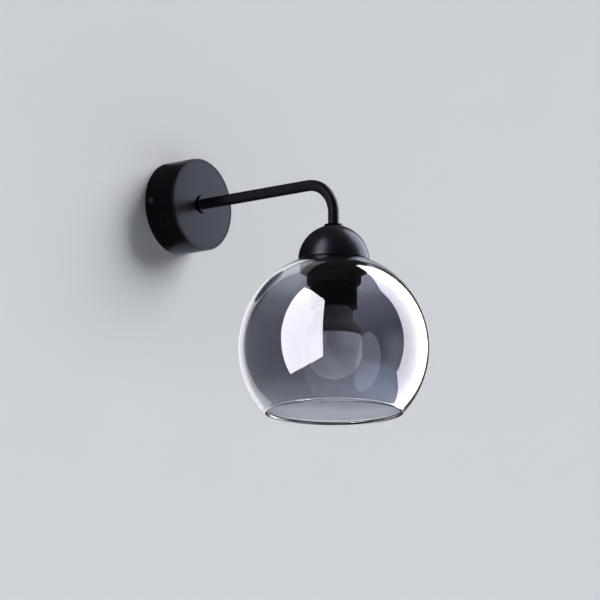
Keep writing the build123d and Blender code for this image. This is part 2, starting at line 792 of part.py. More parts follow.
# Wires: from the terminal block up into the arm, round its bend and down to the terminal posts
wire_block_z = block_centre_z + clamp_screw_pitch / 2 - clamp_screw_d / 2
wire_post_z = spigot_z + post_h - wire_end + thread_clear
fan_z = arm_foot_z - wire_d / 2
post_entry_z = spigot_z + post_h + wire_fan_r / 2
with BuildPart() as live_wire:
    with BuildLine() as live_route:
        FilletPolyline(
            (-pole_spacing / 2, -sleeve_out, wire_block_z),
            (-pole_spacing / 2, -sleeve_out, 0),
            (-wire_x, -arm_end_out, 0),
            (-wire_x, -arm_reach, 0),
            (-wire_x, -arm_reach, fan_z),
            (-post_x, -arm_reach, post_entry_z),
            (-post_x, -arm_reach, wire_post_z),
            radius=[wire_bend_r, wire_bend_r, tube_bend_r, wire_fan_r, wire_fan_r],
        )
    with BuildSketch(Plane(origin=live_route.line @ 0, z_dir=live_route.line % 0)):
        Circle(wire_d / 2)
    sweep(path=live_route.line)
live_wire.part.label = "live_wire"
export_step(live_wire.part, "parts/live_wire.step")

with BuildPart() as neutral_wire:
    with BuildLine() as neutral_route:
        FilletPolyline(
            (pole_spacing / 2, -sleeve_out, wire_block_z),
            (pole_spacing / 2, -sleeve_out, 0),
            (wire_x, -arm_end_out, 0),
            (wire_x, -arm_reach, 0),
            (wire_x, -arm_reach, fan_z),
            (post_x, -arm_reach, post_entry_z),
            (post_x, -arm_reach, wire_post_z),
            radius=[wire_bend_r, wire_bend_r, tube_bend_r, wire_fan_r, wire_fan_r],
        )
    with BuildSketch(Plane(origin=neutral_route.line @ 0, z_dir=neutral_route.line % 0)):
        Circle(wire_d / 2)
    sweep(path=neutral_route.line)
neutral_wire.part.label = "neutral_wire"
export_step(neutral_wire.part, "parts/neutral_wire.step")

# Earth wire: a short loop between the two ring tags
with BuildPart() as earth_wire:
    with BuildLine() as earth_route:
        FilletPolyline(
            (0, -arm_barrel_out, arm_barrel_z + thread_clear),
            (0, -arm_barrel_out, earth_loop_z),
            (0, -bracket_barrel_out, earth_loop_z),
            (0, -bracket_barrel_out, bracket_barrel_z + thread_clear),
            radius=wire_bend_r,
        )
    with BuildSketch(Plane(origin=earth_route.line @ 0, z_dir=earth_route.line % 0)):
        Circle(wire_d / 2)
    sweep(path=earth_route.line)
earth_wire.part.label = "earth_wire"
export_step(earth_wire.part, "parts/earth_wire.step")

# Glass globe: a blown ball, cut open below, with a fire-polished bead round the mouth
with BuildPart() as glass_shade:
    with BuildSketch(lamp_section):
        with BuildLine():
            hole_out = (glass_ro * sin(hole_angle), glass_z + glass_ro * cos(hole_angle))
            hole_in = (glass_ri * sin(hole_angle), glass_z + glass_ri * cos(hole_angle))
            hole_lip = (glass_rm * sin(lip_angle), glass_z + glass_rm * cos(lip_angle))
            mouth_out = (glass_ro * sin(mouth_angle), glass_z - glass_ro * cos(mouth_angle))
            mouth_in = (glass_ri * sin(mouth_angle), glass_z - glass_ri * cos(mouth_angle))
            ThreePointArc(hole_out, (glass_ro, glass_z), mouth_out)
            Line(mouth_out, mouth_in)
            ThreePointArc(mouth_in, (glass_ri, glass_z), hole_in)
            ThreePointArc(hole_in, hole_lip, hole_out)
        make_face()
    revolve(axis=lamp_axis)
    with BuildSketch(lamp_section):
        with Locations((glass_rm * sin(mouth_angle), glass_z - glass_rm * cos(mouth_angle))):
            Circle(glass_bead_d / 2)
    revolve(axis=lamp_axis)
glass_shade.part.label = "glass_shade"
export_step(glass_shade.part, "parts/glass_shade.step")

# Shade ring: sloping flange under the globe, threaded hub with grip ribs
with BuildPart() as shade_ring:
    with BuildSketch(lamp_section) as ring_half:
        with BuildLine():
            Polyline(
                (ring_bore_r, ring_top_z),
                (ring_hub_r, ring_top_z),
                (ring_r, ring_edge_z),
                (ring_r, ring_under_z),
                (ring_hub_r + ring_lip, ring_under_z - ring_under_t),
                (ring_hub_r, ring_under_z - ring_under_t),
                (ring_hub_r, ring_foot_z),
                (ring_bore_r, ring_foot_z),
                close=True,
            )
        make_face()
        fillet(ring_half.vertices().group_by(Axis.X)[-1], ring_lip)
    revolve(axis=lamp_axis)
    with BuildSketch(on_lamp_axis(ring_foot_z)):
        with PolarLocations(ring_hub_r, ring_ribs):
            Circle(ring_rib_r)
        Circle(ring_hub_r - ring_lip / 2, mode=Mode.SUBTRACT)
    extrude(amount=ring_under_z - ring_under_t - ring_foot_z)
shade_ring.part.label = "shade_ring"
export_step(shade_ring.part, "parts/shade_ring.step")

# Bulb: centre contact, glazed insulator and screw base
base_r = base_d / 2
base_ri = base_r - base_wall
with BuildPart() as bulb_contact:
    with BuildSketch(on_lamp_axis(glaze_z)):
        Circle(tip_d / 2)
    extrude(amount=tip_h)
    fillet(bulb_contact.edges().group_by(Axis.Z)[-1], tip_h / 2)
bulb_contact.part.label = "bulb_contact"
export_step(bulb_contact.part, "parts/bulb_contact.step")

with BuildPart() as bulb_insulator:
    with BuildSketch(on_lamp_axis(base_z)):
        Circle(glaze_d / 2)
    with BuildSketch(on_lamp_axis(glaze_z - body_clear)):
        Circle(glaze_top_d / 2)
    loft()
bulb_insulator.part.label = "bulb_insulator"
export_step(bulb_insulator.part, "parts/bulb_insulator.step")

with BuildPart() as bulb_cap:
    with BuildSketch(lamp_section):
        with BuildLine():
            Polyline(
                (glaze_d / 2 - base_lip, base_z),
                (glaze_d / 2, base_z),
                (base_r, base_z - base_lip),
                (base_r, neck_top_z),
                (base_ri, neck_top_z),
                (base_ri, base_z - base_lip - base_wall / 2),
                (glaze_d / 2 - base_wall / 2, base_z - base_wall),
                (glaze_d / 2 - base_lip, base_z - base_wall),
                close=True,
            )
        make_face()
    revolve(axis=lamp_axis)
bulb_cap.part.label = "bulb_cap"
export_step(bulb_cap.part, "parts/bulb_cap.step")

# Bulb neck: plug in the base, straight neck, flare in two tangent arcs and a grooved collar
plug_r = base_ri - thread_clear
neck_r = neck_d / 2
bulb_collar_r = bulb_collar_d / 2
led_seat_r = led_board_d / 2 + body_clear
cavity_r = led_seat_r - led_ledge
neck_ri = neck_r - bulb_wall
plug_ri = plug_r - plug_wall
flare_mid = ((neck_r + bulb_collar_r) / 2, flare_z - flare_h / 2)
groove_z = bulb_collar_z - bulb_collar_h / 2
with BuildPart() as bulb_housing:
    with BuildSketch(lamp_section):
        with BuildLine():
            Polyline(
                (plug_ri, neck_top_z + plug_len),
                (plug_r, neck_top_z + plug_len),
                (plug_r, neck_top_z),
                (base_r, neck_top_z),
                (neck_r, neck_z),
                (neck_r, flare_z),
            )
            lower = TangentArc((neck_r, flare_z), flare_mid, tangent=(0, -1))
            TangentArc(flare_mid, (bulb_collar_r, bulb_collar_z), tangent=lower % 1)
            Polyline(
                (bulb_collar_r, bulb_collar_z),
                (bulb_collar_r, groove_z + collar_groove),
                (bulb_collar_r - collar_groove, groove_z),
                (bulb_collar_r, groove_z - collar_groove),
                (bulb_collar_r, opal_z),
                (led_seat_r, opal_z),
                (led_seat_r, opal_z + led_board_t),
                (cavity_r, opal_z + led_board_t),
                (neck_ri, flare_z),
                (neck_ri, neck_z),
                (plug_ri, neck_top_z),
                (plug_ri, neck_top_z + plug_len),
            )
        make_face()
    revolve(axis=lamp_axis)
bulb_housing.part.label = "bulb_housing"
export_step(bulb_housing.part, "parts/bulb_housing.step")

# Board with its ring of light-emitting chips
with BuildPart() as led_board:
    with BuildSketch(on_lamp_axis(opal_z)):
        Circle(led_board_d / 2)
    extrude(amount=led_board_t)
    with BuildSketch(on_lamp_axis(opal_z)):
        with PolarLocations(led_ring_d / 2, led_count):
            Rectangle(led_size, led_size)
    extrude(amount=-led_t)
led_board.part.label = "led_board"
export_step(led_board.part, "parts/led_board.step")

# Driver board, upright on the chip board
with BuildPart() as driver_board:
    with BuildSketch(on_lamp_axis(opal_z + led_board_t)):
        Rectangle(driver_w, driver_t)
    extrude(amount=driver_h)
driver_board.part.label = "driver_board"
export_step(driver_board.part, "parts/driver_board.step")

# Opal half: near-straight side running into a half ball
ball_r = ball_d / 2
with BuildPart() as bulb_diffuser:
    with BuildSketch(lamp_section):
        with BuildLine():
            Line((bulb_collar_r - opal_t, opal_z), (bulb_collar_r, opal_z))
            Line((bulb_collar_r, opal_z), (ball_r, ball_z))
            RadiusArc((ball_r, ball_z), (0, ball_z - ball_r), ball_r)
            Line((0, ball_z - ball_r), (0, ball_z - ball_r + opal_t))
            RadiusArc((0, ball_z - ball_r + opal_t), (ball_r - opal_t, ball_z), -(ball_r - opal_t))
            Line((ball_r - opal_t, ball_z), (bulb_collar_r - opal_t, opal_z))
        make_face()
    revolve(axis=lamp_axis)
bulb_diffuser.part.label = "bulb_diffuser"
export_step(bulb_diffuser.part, "parts/bulb_diffuser.step")
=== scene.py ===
"""Wall lamp with a smoked glass globe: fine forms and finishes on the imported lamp, in front of a pale wall.

Metres, in the lamp's own frame: the origin is the centre of the canopy on the wall, +Z is up and the lamp
stands out towards -Y.
"""

import json
from math import acos, asin, atan2, cos, pi, radians, sin, sqrt, tan

import bmesh
import bpy
from mathutils import Matrix, Vector


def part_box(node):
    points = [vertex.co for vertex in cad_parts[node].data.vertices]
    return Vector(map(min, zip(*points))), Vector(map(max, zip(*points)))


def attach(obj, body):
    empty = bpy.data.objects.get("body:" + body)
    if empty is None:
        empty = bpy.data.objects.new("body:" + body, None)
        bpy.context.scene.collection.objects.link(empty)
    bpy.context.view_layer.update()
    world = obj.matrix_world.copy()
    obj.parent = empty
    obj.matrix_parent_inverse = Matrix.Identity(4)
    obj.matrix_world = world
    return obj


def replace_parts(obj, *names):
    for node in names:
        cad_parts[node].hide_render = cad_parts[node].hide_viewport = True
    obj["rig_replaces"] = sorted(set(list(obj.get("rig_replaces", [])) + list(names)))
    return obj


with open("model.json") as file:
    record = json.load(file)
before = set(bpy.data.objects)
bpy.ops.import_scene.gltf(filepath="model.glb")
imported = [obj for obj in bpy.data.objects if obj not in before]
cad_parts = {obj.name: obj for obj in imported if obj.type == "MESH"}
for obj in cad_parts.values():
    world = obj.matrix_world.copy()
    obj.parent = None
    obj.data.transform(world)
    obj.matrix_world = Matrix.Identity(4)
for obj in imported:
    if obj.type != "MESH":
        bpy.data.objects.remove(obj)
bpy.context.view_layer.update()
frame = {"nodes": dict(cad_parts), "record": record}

scene = bpy.context.scene
MM = 0.001

# Camera: seen from the left of the arm and a little from below
CAMERA_YAW = radians(51.5)
CAMERA_PITCH = radians(11.5)
CAMERA_LENS = 300.0
CAMERA_SENSOR = 36.0
CAMERA_DISTANCE = 4.194
CAMERA_REACH = 100.0
AIM_RIGHT = -0.0284
AIM_UP = 0.04005

# Canopy
CANOPY_R = 40.0 * MM
CANOPY_WALL = 1.2 * MM
CANOPY_EDGE = 1.4 * MM
CANOPY_GROOVE_W = 0.5 * MM
CANOPY_GROOVE_DEPTH = 0.35 * MM
CANOPY_RIM = 2.2 * MM
ARM_HOLE_R = 4.1 * MM

# Dome
DOME_R = 30.0 * MM
DOME_WALL = 1.0 * MM
DOME_EDGE = 0.35 * MM

# Globe
GLASS_R = 80.0 * MM
GLASS_WALL = 3.2 * MM
GLASS_HOLE_R = 21.3 * MM
GLASS_MOUTH_R = 57.0 * MM
GLASS_BEAD_R = 2.0 * MM
GLASS_SEAT_GAP = 0.3 * MM

# Shade ring and the lampholder's outer thread, 40 x 2.5
SHADE_THREAD_R = 20.0 * MM
SHADE_PITCH = 2.5 * MM
SHADE_THREAD_DEPTH = 1.2 * MM
SHADE_THREAD_STRAIGHT = 0.35
RING_BORE_R = 20.3 * MM
RING_HUB_R = 22.5 * MM
RING_R = 29.0 * MM
RING_EDGE_T = 5.2 * MM
RING_UNDER_T = 2.7 * MM
RING_LIP = 0.7 * MM
RING_RIBS = 12
RING_RIB_H = 0.9 * MM
RING_RIB_NARROWNESS = 7.0
SKIRT_SOCKET_R = 17.7 * MM
SKIRT_SOCKET_DEPTH = 11.0 * MM
SKIRT_BORE_R = 15.2 * MM

# Screw shell and the bulb's 27 mm screw base
SHELL_R = 14.0 * MM
SHELL_T = 0.5 * MM
SHELL_HOLE_R = 9.0 * MM
BASE_R = 13.1 * MM
BASE_WALL = 0.4 * MM
BASE_LIP = 1.0 * MM
BASE_TOP_R = 12.0 * MM
BASE_PITCH = 25.4 / 7 * MM
BASE_THREAD_DEPTH = 1.0 * MM
SHELL_THREAD_DEPTH = 0.9 * MM
ROLLED_THREAD_STRAIGHT = 0.0

# Bulb
PLUG_R = 12.6 * MM
PLUG_WALL = 1.6 * MM
SHOULDER_H = 4.0 * MM
NECK_R = 16.2 * MM
NECK_EDGE = 0.7 * MM
NECK_LEN = 4.5 * MM
FLARE_H = 14.0 * MM
COLLAR_R = 23.4 * MM
COLLAR_GROOVE = 0.35 * MM
NECK_WALL = 1.8 * MM
LED_SEAT_R = 20.8 * MM
LED_LEDGE = 1.5 * MM
LED_BOARD_T = 1.6 * MM
BALL_R = 23.9 * MM
BALL_SIDE_H = 12.6 * MM
OPAL_T = 1.2 * MM

# Fineness of the meshes: points round a turn and along arcs, and rows down threads and ribs
SEGMENTS = 160
GLASS_SEGMENTS = 256
CORNER_STEPS = 4
DOME_STEPS = 40
GLASS_STEPS = 110
BEAD_STEPS = 18
LIP_STEPS = 10
FLARE_STEPS = 14
BALL_STEPS = 48
ROWS_A_PITCH = 12
SHADE_ROW = SHADE_PITCH / ROWS_A_PITCH
BASE_ROW = BASE_PITCH / ROWS_A_PITCH
HUB_ROW = SHADE_PITCH / 4
ON_AXIS = 1e-6
WELD_REACH = 0.001 * MM
SHARP_ANGLE = radians(32.0)

# Levels and places read from the frame
globe_lo, globe_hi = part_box("glass_shade")
lamp_x = (globe_lo.x + globe_hi.x) / 2
lamp_y = (globe_lo.y + globe_hi.y) / 2
canopy_lo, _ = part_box("canopy_cup")
dome_lo, dome_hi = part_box("dome_cap")
skirt_lo, skirt_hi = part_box("holder_skirt")
ring_lo, ring_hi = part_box("shade_ring")
shell_lo, shell_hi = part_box("screw_shell")
base_lo, base_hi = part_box("bulb_cap")
housing_lo, housing_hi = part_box("bulb_housing")
_, opal_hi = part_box("bulb_diffuser")
globe_z = dome_lo.z - GLASS_SEAT_GAP - sqrt(GLASS_R**2 - (DOME_R - DOME_WALL) ** 2)
globe_middle = Vector((lamp_x, lamp_y, globe_z))


# Outlines

def arc(centre, radius, start, end, steps):
    """Points on an arc of an outline, from angle start to end, measured from the radius axis upwards."""
    r0, z0 = centre
    points = []
    for k in range(steps + 1):
        angle = start + (end - start) * k / steps
        points.append((r0 + radius * cos(angle), z0 + radius * sin(angle)))
    return points


def softened(corners):
    """Outline whose corners (radius, height, rounding) are rounded off by arcs."""
    points = []
    count = len(corners)
    for k, (r, z, rounding) in enumerate(corners):
        here = Vector((r, z))
        if rounding == 0:
            points.append((r, z))
            continue
        before = (Vector(corners[k - 1][:2]) - here).normalized()
        after = (Vector(corners[(k + 1) % count][:2]) - here).normalized()
        half = acos(max(-1.0, min(1.0, before.dot(after)))) / 2
        centre = here + (before + after).normalized() * rounding / sin(half)
        first = here + before * rounding / tan(half) - centre
        last = here + after * rounding / tan(half) - centre
        start = atan2(first.y, first.x)
        sweep = (atan2(last.y, last.x) - start + pi) % (2 * pi) - pi
        points += arc(centre, rounding, start, start + sweep, CORNER_STEPS)
    return points


def rows_between(r, z_from, z_to, step):
    """Closely spaced points down a straight side, for a thread or ribs to be formed on."""
    count = max(2, round(abs(z_to - z_from) / step))
    return [(r, z_from + (z_to - z_from) * k / count) for k in range(count + 1)]


# Meshes

def finish_shading(mesh):
    """Smooth faces, with the real corners kept sharp."""
    mesh.shade_smooth()
    mesh.set_sharp_from_angle(angle=SHARP_ANGLE)


def lamp_point(r, z, angle):
    """Point at a radius, level and angle about the lamp axis."""
    return (lamp_x + r * cos(angle), lamp_y + r * sin(angle), z)


def canopy_point(r, out, angle):
    """Point at a radius, distance from the wall and angle about the canopy's axis."""
    return (r * cos(angle), -out, r * sin(angle))


def turned(name, outline, point=lamp_point, reach=None, segments=SEGMENTS):
    """Solid of revolution from a closed outline; reach marks where a form is cut into its surface."""
    form = bmesh.new()
    layer = form.verts.layers.float.new("form_reach")
    rings = []
    for k, (r, h) in enumerate(outline):
        count = segments if r > ON_AXIS else 1
        ring = [form.verts.new(point(r, h, 2 * pi * s / segments)) for s in range(count)]
        for vert in ring:
            vert[layer] = reach[k] if reach else 0.0
        rings.append(ring)
    for k, ring in enumerate(rings):
        following = rings[(k + 1) % len(rings)]
        if len(ring) == 1 and len(following) == 1:
            continue
        for s in range(segments):
            loop = [ring[s % len(ring)], ring[(s + 1) % len(ring)]]
            loop += [following[(s + 1) % len(following)], following[s % len(following)]]
            form.faces.new(list(dict.fromkeys(loop)))
    bmesh.ops.recalc_face_normals(form, faces=form.faces)
    mesh = bpy.data.meshes.new(name)
    form.to_mesh(mesh)
    form.free()
    finish_shading(mesh)
    piece = bpy.data.objects.new(name, mesh)
    scene.collection.objects.link(piece)
    return piece


def formed(piece, tree, material, sizes):
    """Runs a form tree about the lamp axis on a piece and keeps the result as its plain mesh."""
    modifier = piece.modifiers.new("form", "NODES")
    modifier.node_group = tree
    values = {"Axis X": lamp_x, "Axis Y": lamp_y, "Material": material, **sizes}
    for item in tree.interface.items_tree:
        if item.item_type == "SOCKET" and item.in_out == "INPUT" and item.name in values:
            modifier[item.identifier] = values[item.name]
    graph = bpy.context.evaluated_depsgraph_get()
    mesh = bpy.data.meshes.new_from_object(piece.evaluated_get(graph), depsgraph=graph)
    piece.modifiers.clear()
    piece.data = mesh
    finish_shading(mesh)


# Nodes, for the form trees and the finishes

# Places of a Mix node's sockets
MIX_SHARE = 0
MIX_VALUES = 2, 3
MIX_COLOURS = 6, 7
MIXED_VALUE = 0
MIXED_COLOUR = 2


def feed(tree, socket, value):
    """Gives a socket a plain value, or links another node's output to it."""
    if isinstance(value, bpy.types.NodeSocket):
        tree.links.new(value, socket)
    else:
        socket.default_value = value


def math_node(tree, operation, *values):
    """Math node on sockets or plain numbers; gives its output socket."""
    node = tree.nodes.new("ShaderNodeMath")
    node.operation = operation
    for socket, value in zip(node.inputs, values):
        feed(tree, socket, value)
    return node.outputs[0]


def mix_node(tree, share, pair, values):
    """Mix node between two values or colours, which go into the pair of sockets that is given."""
    node = tree.nodes.new("ShaderNodeMix")
    node.data_type = "RGBA" if pair == MIX_COLOURS else "FLOAT"
    tree.links.new(share, node.inputs[MIX_SHARE])
    for socket, value in zip(pair, values):
        feed(tree, node.inputs[socket], value)
    return node.outputs[MIXED_COLOUR if pair == MIX_COLOURS else MIXED_VALUE]


def map_range(tree, value, span, ends=(0.0, 1.0), interpolation="LINEAR"):
    """Carries a value over from a span to other ends, which are numbers or sockets."""
    node = tree.nodes.new("ShaderNodeMapRange")
    node.interpolation_type = interpolation
    tree.links.new(value, node.inputs["Value"])
    for label, end in zip(("From Min", "From Max", "To Min", "To Max"), (*span, *ends)):
        feed(tree, node.inputs[label], end)
    return node.outputs[0]


# Form trees

def new_form_tree(name, sizes):
    """Geometry node tree with a mesh input, named sizes, a material and a mesh output."""
    tree = bpy.data.node_groups.new(name, "GeometryNodeTree")
    sockets = tree.interface
    sockets.new_socket("Geometry", in_out="INPUT", socket_type="NodeSocketGeometry")
    for label, default in sizes.items():
        socket = sockets.new_socket(label, in_out="INPUT", socket_type="NodeSocketFloat")
        socket.default_value = default
    sockets.new_socket("Material", in_out="INPUT", socket_type="NodeSocketMaterial")
    sockets.new_socket("Geometry", in_out="OUTPUT", socket_type="NodeSocketGeometry")
    return tree, tree.nodes.new("NodeGroupInput"), tree.nodes.new("NodeGroupOutput")


def axis_polar(tree, given):
    """Sockets for the angle about the lamp axis in turns, the level, and the outward direction."""
    place = tree.nodes.new("GeometryNodeInputPosition")
    split = tree.nodes.new("ShaderNodeSeparateXYZ")
    tree.links.new(place.outputs[0], split.inputs[0])
    across = math_node(tree, "SUBTRACT", split.outputs["X"], given.outputs["Axis X"])
    along = math_node(tree, "SUBTRACT", split.outputs["Y"], given.outputs["Axis Y"])
    turns = math_node(tree, "DIVIDE", math_node(tree, "ARCTAN2", along, across), 2 * pi)
    join = tree.nodes.new("ShaderNodeCombineXYZ")
    tree.links.new(across, join.inputs["X"])
    tree.links.new(along, join.inputs["Y"])
    outward = tree.nodes.new("ShaderNodeVectorMath")
    outward.operation = "NORMALIZE"
    tree.links.new(join.outputs[0], outward.inputs[0])
    return turns, split.outputs["Z"], outward.outputs[0]


def push_out(tree, given, result, outward, amount):
    """Moves the marked surface outward by an amount, then gives it its material."""
    reach = tree.nodes.new("GeometryNodeInputNamedAttribute")
    reach.data_type = "FLOAT"
    reach.inputs["Name"].default_value = "form_reach"
    held = math_node(tree, "MULTIPLY", amount, reach.outputs["Attribute"])
    offset = tree.nodes.new("ShaderNodeVectorMath")
    offset.operation = "SCALE"
    tree.links.new(outward, offset.inputs[0])
    tree.links.new(held, offset.inputs["Scale"])
    move = tree.nodes.new("GeometryNodeSetPosition")
    tree.links.new(given.outputs["Geometry"], move.inputs["Geometry"])
    tree.links.new(offset.outputs[0], move.inputs["Offset"])
    real = tree.nodes.new("GeometryNodeRealizeInstances")
    tree.links.new(move.outputs[0], real.inputs[0])
    paint = tree.nodes.new("GeometryNodeSetMaterial")
    tree.links.new(real.outputs[0], paint.inputs["Geometry"])
    tree.links.new(given.outputs["Material"], paint.inputs["Material"])
    tree.links.new(paint.outputs[0], result.inputs["Geometry"])


def screw_thread_tree():
    """Right-hand thread sunk into a turned surface, from a rounded to a straight-sided groove."""
    sizes = {"Axis X": 0.0, "Axis Y": 0.0, "Pitch": 0.0025, "Depth": 0.001, "Straight Sides": 0.0}
    tree, given, result = new_form_tree("screw_thread", sizes)
    turns, level, outward = axis_polar(tree, given)
    phase = math_node(tree, "SUBTRACT", math_node(tree, "DIVIDE", level, given.outputs["Pitch"]), turns)
    wave = math_node(tree, "COSINE", math_node(tree, "MULTIPLY", phase, 2 * pi))
    rounded = math_node(tree, "MULTIPLY", math_node(tree, "SUBTRACT", 1.0, wave), 0.5)
    straight = math_node(tree, "MULTIPLY", math_node(tree, "PINGPONG", phase, 0.5), 2.0)
    groove = mix_node(tree, given.outputs["Straight Sides"], MIX_VALUES, (rounded, straight))
    sink = math_node(tree, "MULTIPLY", groove, given.outputs["Depth"])
    push_out(tree, given, result, outward, math_node(tree, "MULTIPLY", sink, -1.0))
    return tree


def grip_rib_tree():
    """Upright ribs raised on a turned surface."""
    sizes = {"Axis X": 0.0, "Axis Y": 0.0, "Ribs": 12.0, "Height": 0.001, "Narrowness": 6.0}
    tree, given, result = new_form_tree("grip_ribs", sizes)
    turns, _, outward = axis_polar(tree, given)
    angle = math_node(tree, "MULTIPLY", math_node(tree, "MULTIPLY", turns, given.outputs["Ribs"]), 2 * pi)
    crest = math_node(tree, "MAXIMUM", math_node(tree, "COSINE", angle), 0.0)
    shape = math_node(tree, "POWER", crest, given.outputs["Narrowness"])
    push_out(tree, given, result, outward, math_node(tree, "MULTIPLY", shape, given.outputs["Height"]))
    return tree


screw_thread = screw_thread_tree()
grip_ribs = grip_rib_tree()


# Shader groups shared by the finishes

FINE_DETAIL = 2.0
FINE_SHARE = 0.7
BROAD_GRAIN = 0.22
BROAD_DETAIL = 3.0
BROAD_SHARE = 0.3
GRAIN_SPAN = 0.3, 0.7
FILM_DETAIL = 4.0
FILM_SPAN = 0.35, 0.65
DUST_DETAIL = 5.0


def new_shader_group(name, inputs, outputs):
    """Shader node group with named value inputs and outputs."""
    tree = bpy.data.node_groups.new(name, "ShaderNodeTree")
    tree.interface.new_socket("Vector", in_out="INPUT", socket_type="NodeSocketVector")
    for label, default in inputs.items():
        socket = tree.interface.new_socket(label, in_out="INPUT", socket_type="NodeSocketFloat")
        socket.default_value = default
    for label in outputs:
        tree.interface.new_socket(label, in_out="OUTPUT", socket_type="NodeSocketFloat")
    return tree, tree.nodes.new("NodeGroupInput"), tree.nodes.new("NodeGroupOutput")


def noise_in(tree, vector, scale, detail):
    """Noise value at a scale that is a socket or a number."""
    node = tree.nodes.new("ShaderNodeTexNoise")
    node.inputs["Detail"].default_value = detail
    tree.links.new(vector, node.inputs["Vector"])
    feed(tree, node.inputs["Scale"], scale)
    return node.outputs[0]


def coat_grain_group():
    """Fine pebbled grain: a height for bump, and a tone that lightens and darkens the colour."""
    tree, given, result = new_shader_group(
        "coat_grain", {"Grain Scale": 900.0, "Tone Low": 0.8, "Tone High": 1.2}, ("Height", "Tone")
    )
    vector, scale = given.outputs["Vector"], given.outputs["Grain Scale"]
    fine = noise_in(tree, vector, scale, FINE_DETAIL)
    broad = noise_in(tree, vector, math_node(tree, "MULTIPLY", scale, BROAD_GRAIN), BROAD_DETAIL)
    fine_part = math_node(tree, "MULTIPLY", fine, FINE_SHARE)
    broad_part = math_node(tree, "MULTIPLY", broad, BROAD_SHARE)
    height = math_node(tree, "ADD", fine_part, broad_part)
    tree.links.new(height, result.inputs["Height"])
    tones = given.outputs["Tone Low"], given.outputs["Tone High"]
    tree.links.new(map_range(tree, height, GRAIN_SPAN, tones), result.inputs["Tone"])
    return tree


def handling_film_group():
    """Roughness that drifts between two values in soft patches, as a handled surface does."""
    tree, given, result = new_shader_group(
        "handling_film", {"Patch Scale": 40.0, "Smooth": 0.3, "Rough": 0.4}, ("Roughness",)
    )
    patches = noise_in(tree, given.outputs["Vector"], given.outputs["Patch Scale"], FILM_DETAIL)
    ends = given.outputs["Smooth"], given.outputs["Rough"]
    tree.links.new(map_range(tree, patches, FILM_SPAN, ends), result.inputs["Roughness"])
    return tree


def settled_dust_group():
    """Mask of the thin dust that lies on faces that look up."""
    tree, given, result = new_shader_group("settled_dust", {"Amount": 0.05, "Patch Scale": 160.0}, ("Dust",))
    surface = tree.nodes.new("ShaderNodeNewGeometry")
    split = tree.nodes.new("ShaderNodeSeparateXYZ")
    tree.links.new(surface.outputs["Normal"], split.inputs[0])
    upward = math_node(tree, "MAXIMUM", split.outputs["Z"], 0.0)
    patches = noise_in(tree, given.outputs["Vector"], given.outputs["Patch Scale"], DUST_DETAIL)
    dust = math_node(tree, "MULTIPLY", math_node(tree, "MULTIPLY", upward, patches), given.outputs["Amount"])
    tree.links.new(dust, result.inputs["Dust"])
    return tree


coat_grain = coat_grain_group()
handling_film = handling_film_group()
settled_dust = settled_dust_group()


# Finishes

DUST_COLOUR = (0.42, 0.41, 0.40, 1.0)
CLEAR_GLASS = (0.97, 0.98, 0.98, 1.0)
SHADOW_TINT = (0.96, 0.96, 0.97, 1.0)
FULLY_CLEAR = (1.0, 1.0, 1.0, 1.0)
BLACK = (0.0, 0.0, 0.0, 1.0)
BUMP_DEPTH = 0.05 * MM
COAT_BUMP_DEPTH = 0.2 * MM
GLASS_IOR = 1.52
OPAL_GLOW = 0.4
OPAL_GLOW_REACH = 4.0 * MM
CLOUD_SCALE = 18.0
CLOUD_DETAIL = 3.0
CLOUD_WANDER = 0.06

# The shader takes the root of a glass colour at each face, so the film's colour is squared first
ONE_FACE_GAMMA = 2.0

# Share of the light that the film lets through, by height from the mouth to the crown
SMOKE = (
    (0.09, (0.64, 0.64, 0.72, 1.0)),
    (0.18, (0.38, 0.38, 0.44, 1.0)),
    (0.28, (0.31, 0.31, 0.37, 1.0)),
    (0.66, (0.33, 0.33, 0.39, 1.0)),
    (0.79, (0.52, 0.52, 0.59, 1.0)),
    (0.89, (0.90, 0.91, 0.95, 1.0)),
)


def new_finish(name):
    """New material, with its node tree and its surface shader."""
    material = bpy.data.materials.new(name)
    material.use_nodes = True
    tree = material.node_tree
    return material, tree, tree.nodes["Principled BSDF"]


def place_group(tree, group, vector, **values):
    """Puts a shared group into a material, with its own values."""
    node = tree.nodes.new("ShaderNodeGroup")
    node.node_tree = group
    tree.links.new(vector, node.inputs["Vector"])
    for label, value in values.items():
        node.inputs[label.replace("_", " ")].default_value = value
    return node


def toned(tree, colour, tone):
    """A plain colour made lighter and darker by a tone."""
    node = tree.nodes.new("ShaderNodeVectorMath")
    node.operation = "SCALE"
    node.inputs[0].default_value = colour[:3]
    tree.links.new(tone, node.inputs["Scale"])
    return node.outputs[0]


def clear_where(tree, share, tint):
    """Makes a material clear, with a tint, by the share that a socket gives."""
    clear = tree.nodes.new("ShaderNodeBsdfTransparent")
    clear.inputs["Color"].default_value = tint
    blend = tree.nodes.new("ShaderNodeMixShader")
    tree.links.new(share, blend.inputs[0])
    tree.links.new(tree.nodes["Principled BSDF"].outputs[0], blend.inputs[1])
    tree.links.new(clear.outputs[0], blend.inputs[2])
    tree.links.new(blend.outputs[0], tree.nodes["Material Output"].inputs["Surface"])


